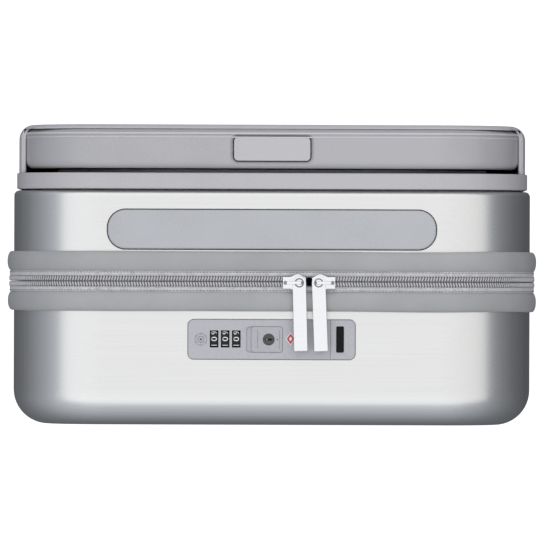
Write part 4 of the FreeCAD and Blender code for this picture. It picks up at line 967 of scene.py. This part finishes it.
def strap_webbing(word, middle, turn, level, seed):
    """One strap's webbing, bowed a little along its length."""
    half_wide, steps = 12.6 * MM, 120
    section = (
        (-1, 0.0), (-0.985, -0.42), (-0.93, -0.55), (-0.5, -0.5), (0, -0.48), (0.5, -0.5),
        (0.93, -0.55), (0.985, -0.42), (1, 0.0), (0.985, 0.42), (0, 0.5), (-0.985, 0.42),
    )
    rings = []
    for step in range(steps + 1):
        share = step / steps * 2 - 1
        bow = 0.35 * MM * noise.noise(Vector((share * 7, seed, 1.1))) * (1 - share**8)
        rings.append([
            middle + turn @ Vector((share * HALF_STRAP, 0, across * half_wide))
            + Vector((0, level - bow + up * MM, 0))
            for across, up in section
        ])
    strap = strip(f"strap_{word}", rings, WEBBING[word], "rear_case")
    return strap


def strap_stitches(tag, spot, turn):
    """Seams that hold a strap's end to its anchor: a cross and two sides of its box."""
    x, z = 8, 10
    seams = (
        ((-x, -z), (x, z)), ((x, -z), (-x, z)), ((-x, -z), (x, -z)), ((x, -z), (x, z)),
    )
    stitch, start_share, end_share = 2.6, 0.15, 0.8
    lift, outwards = Vector((0, -2.05 * MM, 0)), Vector((0, -1, 0))
    vertices, faces = [], []
    for seam in seams:
        a, b = (Vector((along, 0, across)) for along, across in seam)
        count = max(4, round((b - a).length / stitch))
        for i in range(count):
            p = spot + turn @ (a.lerp(b, (i + start_share) / count) * MM) + lift
            q = spot + turn @ (a.lerp(b, (i + end_share) / count) * MM) + lift
            bead(vertices, faces, p, q, outwards, 0.6 * MM, 0.4 * MM, 3, 5)
    build(f"strap_stitches_{tag}", vertices, faces, THREAD, "rear_case")


def make_strap(number, word, middle, rear):
    """A strap with an anchor and stitches at each end, and an adjuster with two bars."""
    lean = STRAPS[word] * STRAP_LEAN
    turn = Matrix.Rotation(lean, 3, "Y")
    level = rear - 0.75 * MM - 1.35 * MM * number
    strap = strap_webbing(word, middle, turn, level, number * 4.4)
    lift = Vector((0, level, 0))
    for end, end_word in ((-1, "near"), (1, "far")):
        tag = f"{word}_{end_word}"
        spot = middle + turn @ Vector((end * (HALF_STRAP - 11 * MM), 0, 0)) + lift
        plate(f"strap_anchor_{tag}", spot, (13, 16), (-2.0, -0.4), 4, DARK, lean)
        strap_stitches(tag, spot, turn)
    spot = middle + turn @ Vector((-62 * MM, 0, 0)) + lift
    plate(
        f"strap_adjuster_{word}", spot, (7, 16.5), (-2.4, -0.2), 2.5, DARK, lean
    )
    for bar, bar_word in ((-1, "a"), (1, "b")):
        groove = spot + turn @ Vector((bar * 3.2 * MM, 0, 0))
        plate(
            f"strap_bar_{word}_{bar_word}", groove, (1.5, 12.6), (-2.75, -2.2), 0.8,
            WEBBING[word], lean,
        )
    return strap


def make_straps():
    """Two crossed webbing straps and a side-release buckle where they meet."""
    low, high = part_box("straps_and_buckle")
    middle = Vector((0, 0, 286.5 * MM))
    straps = [make_strap(number, word, middle, high[1]) for number, word in enumerate(STRAPS)]
    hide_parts("straps_and_buckle")
    buckle = (
        ("buckle_socket", (0, 13.6), (17, 13.4), (0.2, 5.3), 4.5, DARK),
        ("buckle_plug", (0, -12.6), (16, 12.2), (0.4, 4.6), 4.5, DARK),
        ("buckle_window_left", (-13.2, 11.0), (2.6, 6.0), (-0.15, 1.0), 1.8, INNER_AND_SHADE),
        ("buckle_window_right", (13.2, 11.0), (2.6, 6.0), (-0.15, 1.0), 1.8, INNER_AND_SHADE),
        ("buckle_rib", (0, 12.5), (5.5, 7.5), (-0.35, 1.0), 2.5, INNER_AND_SHADE),
        ("buckle_bar_top", (0, 22.6), (12.8, 1.3), (-0.4, 1.0), 0.9, INNER_AND_SHADE),
        ("buckle_bar_low", (0, -20.6), (12.8, 1.3), (0.05, 1.0), 0.9, INNER_AND_SHADE),
    )
    for name, (x, z), half, thick, radius, material in buckle:
        place = Vector((x * MM, low[1] + 0.3 * MM, middle.z + z * MM))
        plate(name, place, half, thick, radius, material)


def make_spring(node, body):
    """A copy of a CAD spring pair with a mesh of its own, which stands for it on a body."""
    mesh = NODES[node].data.copy()
    mesh.materials.clear()
    mesh.materials.append(STEEL)
    piece = add_object(f"{node}_wire", mesh)
    stand_for(node, piece, body)
    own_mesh(piece)


def make_inside():
    """Linings, pocket, straps and springs."""
    rear_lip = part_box("rear_shell")[0][1] - 0.3 * MM
    front_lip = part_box("front_shell")[1][1] + 0.3 * MM
    rear_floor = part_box("rear_lining")[1][1] - 1.2 * MM
    front_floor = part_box("front_lining")[0][1] + 1.2 * MM
    make_lining("rear", rear_lip, rear_floor, 2.0, "carry_handle_tray")
    make_lining("front", front_lip, front_floor, 5.0, "lock_case")
    make_pocket()
    make_straps()
    make_spring("button_springs", "pull_handle")
    make_spring("carry_handle_springs", "rear_case")


make_inside()


# ------------------------ stage, light and camera


def area_light(name, place, target, size, strength, color):
    """A rectangular light that the camera doesn't see. It is as bright whatever its size."""
    data = bpy.data.lights.new(name, "AREA")
    data.shape = "RECTANGLE"
    data.size, data.size_y = size
    data.energy = strength * math.pi * size[0] * size[1]
    data.color = color
    light = add_object(name, data)
    light.location = place
    light.rotation_euler = (Vector(target) - Vector(place)).to_track_quat("-Z", "Y").to_euler()
    light.visible_camera = False
    return light


def studio_world():
    """A soft room: bright overhead, fading to the sides and below, less so to front and back."""
    world = bpy.data.worlds.new("studio")
    world.use_nodes = True
    here = add_node(world, "TexCoord").outputs["Generated"]
    x, y, z = add_node(world, "SeparateXYZ", {"Vector": here}).outputs
    all_ways = (-1.0, 1.0)
    ramp = add_node(world, "ValToRGB", {"Fac": between(world, z, 0.0, 1.0, all_ways)})
    steps = (
        (0.0, 0.095), (0.14, 0.115), (0.275, 0.155), (0.385, 0.215),
        (0.545, 0.315), (0.655, 0.41), (0.78, 0.5),
    )
    warm, cool = 0.93, 1.12  # shares of red and blue against green
    elements = ramp.color_ramp.elements
    while len(elements) < len(steps):
        elements.new(0.5)
    for element, (place, tone) in zip(elements, steps):
        element.position = place
        element.color = (tone * warm, tone, tone * cool, 1)
    sides = between(world, x, 1.08, 0.62, all_ways)
    ends = maths(world, "MULTIPLY_ADD", maths(world, "ABSOLUTE", y), 0.85, 1.0)
    lean = maths(world, "MULTIPLY_ADD", y, 0.06, ends)
    back = world.node_tree.nodes["Background"]
    world.node_tree.links.new(ramp.outputs["Color"], back.inputs["Color"])
    power = maths(world, "MULTIPLY", sides, lean)
    world.node_tree.links.new(power, back.inputs["Strength"])
    bpy.context.scene.world = world


def make_floor():
    """White paper that glows a little less with distance. Only the camera and shadows see it."""
    reach, glow_near, glow_far, fade = 12.0, 0.8, 0.42, (0.5, 2.6)
    corners = [(-reach, -reach, 0), (reach, -reach, 0), (reach, reach, 0), (-reach, reach, 0)]
    mesh = bpy.data.meshes.new("floor")
    mesh.from_pydata(corners, [], [(0, 1, 2, 3)])
    floor = add_object("floor", mesh)
    paper = shade("floor_paper", (0.6, 0.6, 0.6), 0.9, Specular_IOR_Level=0.0)
    distance = add_node(paper, "VectorMath", {0: places(paper)}, operation="LENGTH")
    glow = between(paper, distance.outputs["Value"], glow_near, glow_far, fade)
    link(paper, glow, "Emission Strength")
    shader = paper.node_tree.nodes["Principled BSDF"]
    shader.inputs["Emission Color"].default_value = (1, 1, 1, 1)
    link(paper, between(paper, speckle(paper, 4), 0.86, 0.94), "Roughness")
    mesh.materials.append(paper)
    floor.visible_glossy = floor.visible_diffuse = False


def make_lights():
    """A softbox above the case's right, and a fill from behind that leaves no reflection."""
    aside, above, back = 0.11, HIGH + 0.48, 1.6
    warm, white = (1.0, 0.987, 0.965), (1, 1, 1)
    area_light("top_softbox", (aside, 0, above), (aside, 0, 0), (1.86, 1.2), 0.75, warm)
    fill = area_light("back_fill", (0, back, HIGH + 0.5), (0, 0.1, HIGH), (1.0, 0.6), 2.3, white)
    fill.visible_glossy = False


def make_camera():
    """Straight down on the top end, with the zip across the middle of the picture."""
    distance, across, sensor = 6.0, 0.3800, 36
    data = bpy.data.cameras.new("camera")
    data.sensor_width = sensor
    data.lens = sensor * distance / across
    data.clip_end = 50
    camera = add_object("camera", data)
    camera.location = (2.2 * MM, 0.0, HIGH + distance)
    camera.rotation_euler = (0, 0, math.radians(0.2))
    bpy.context.scene.camera = camera


make_floor()
studio_world()
make_lights()
bpy.context.scene.view_settings.view_transform = "Standard"
make_camera()
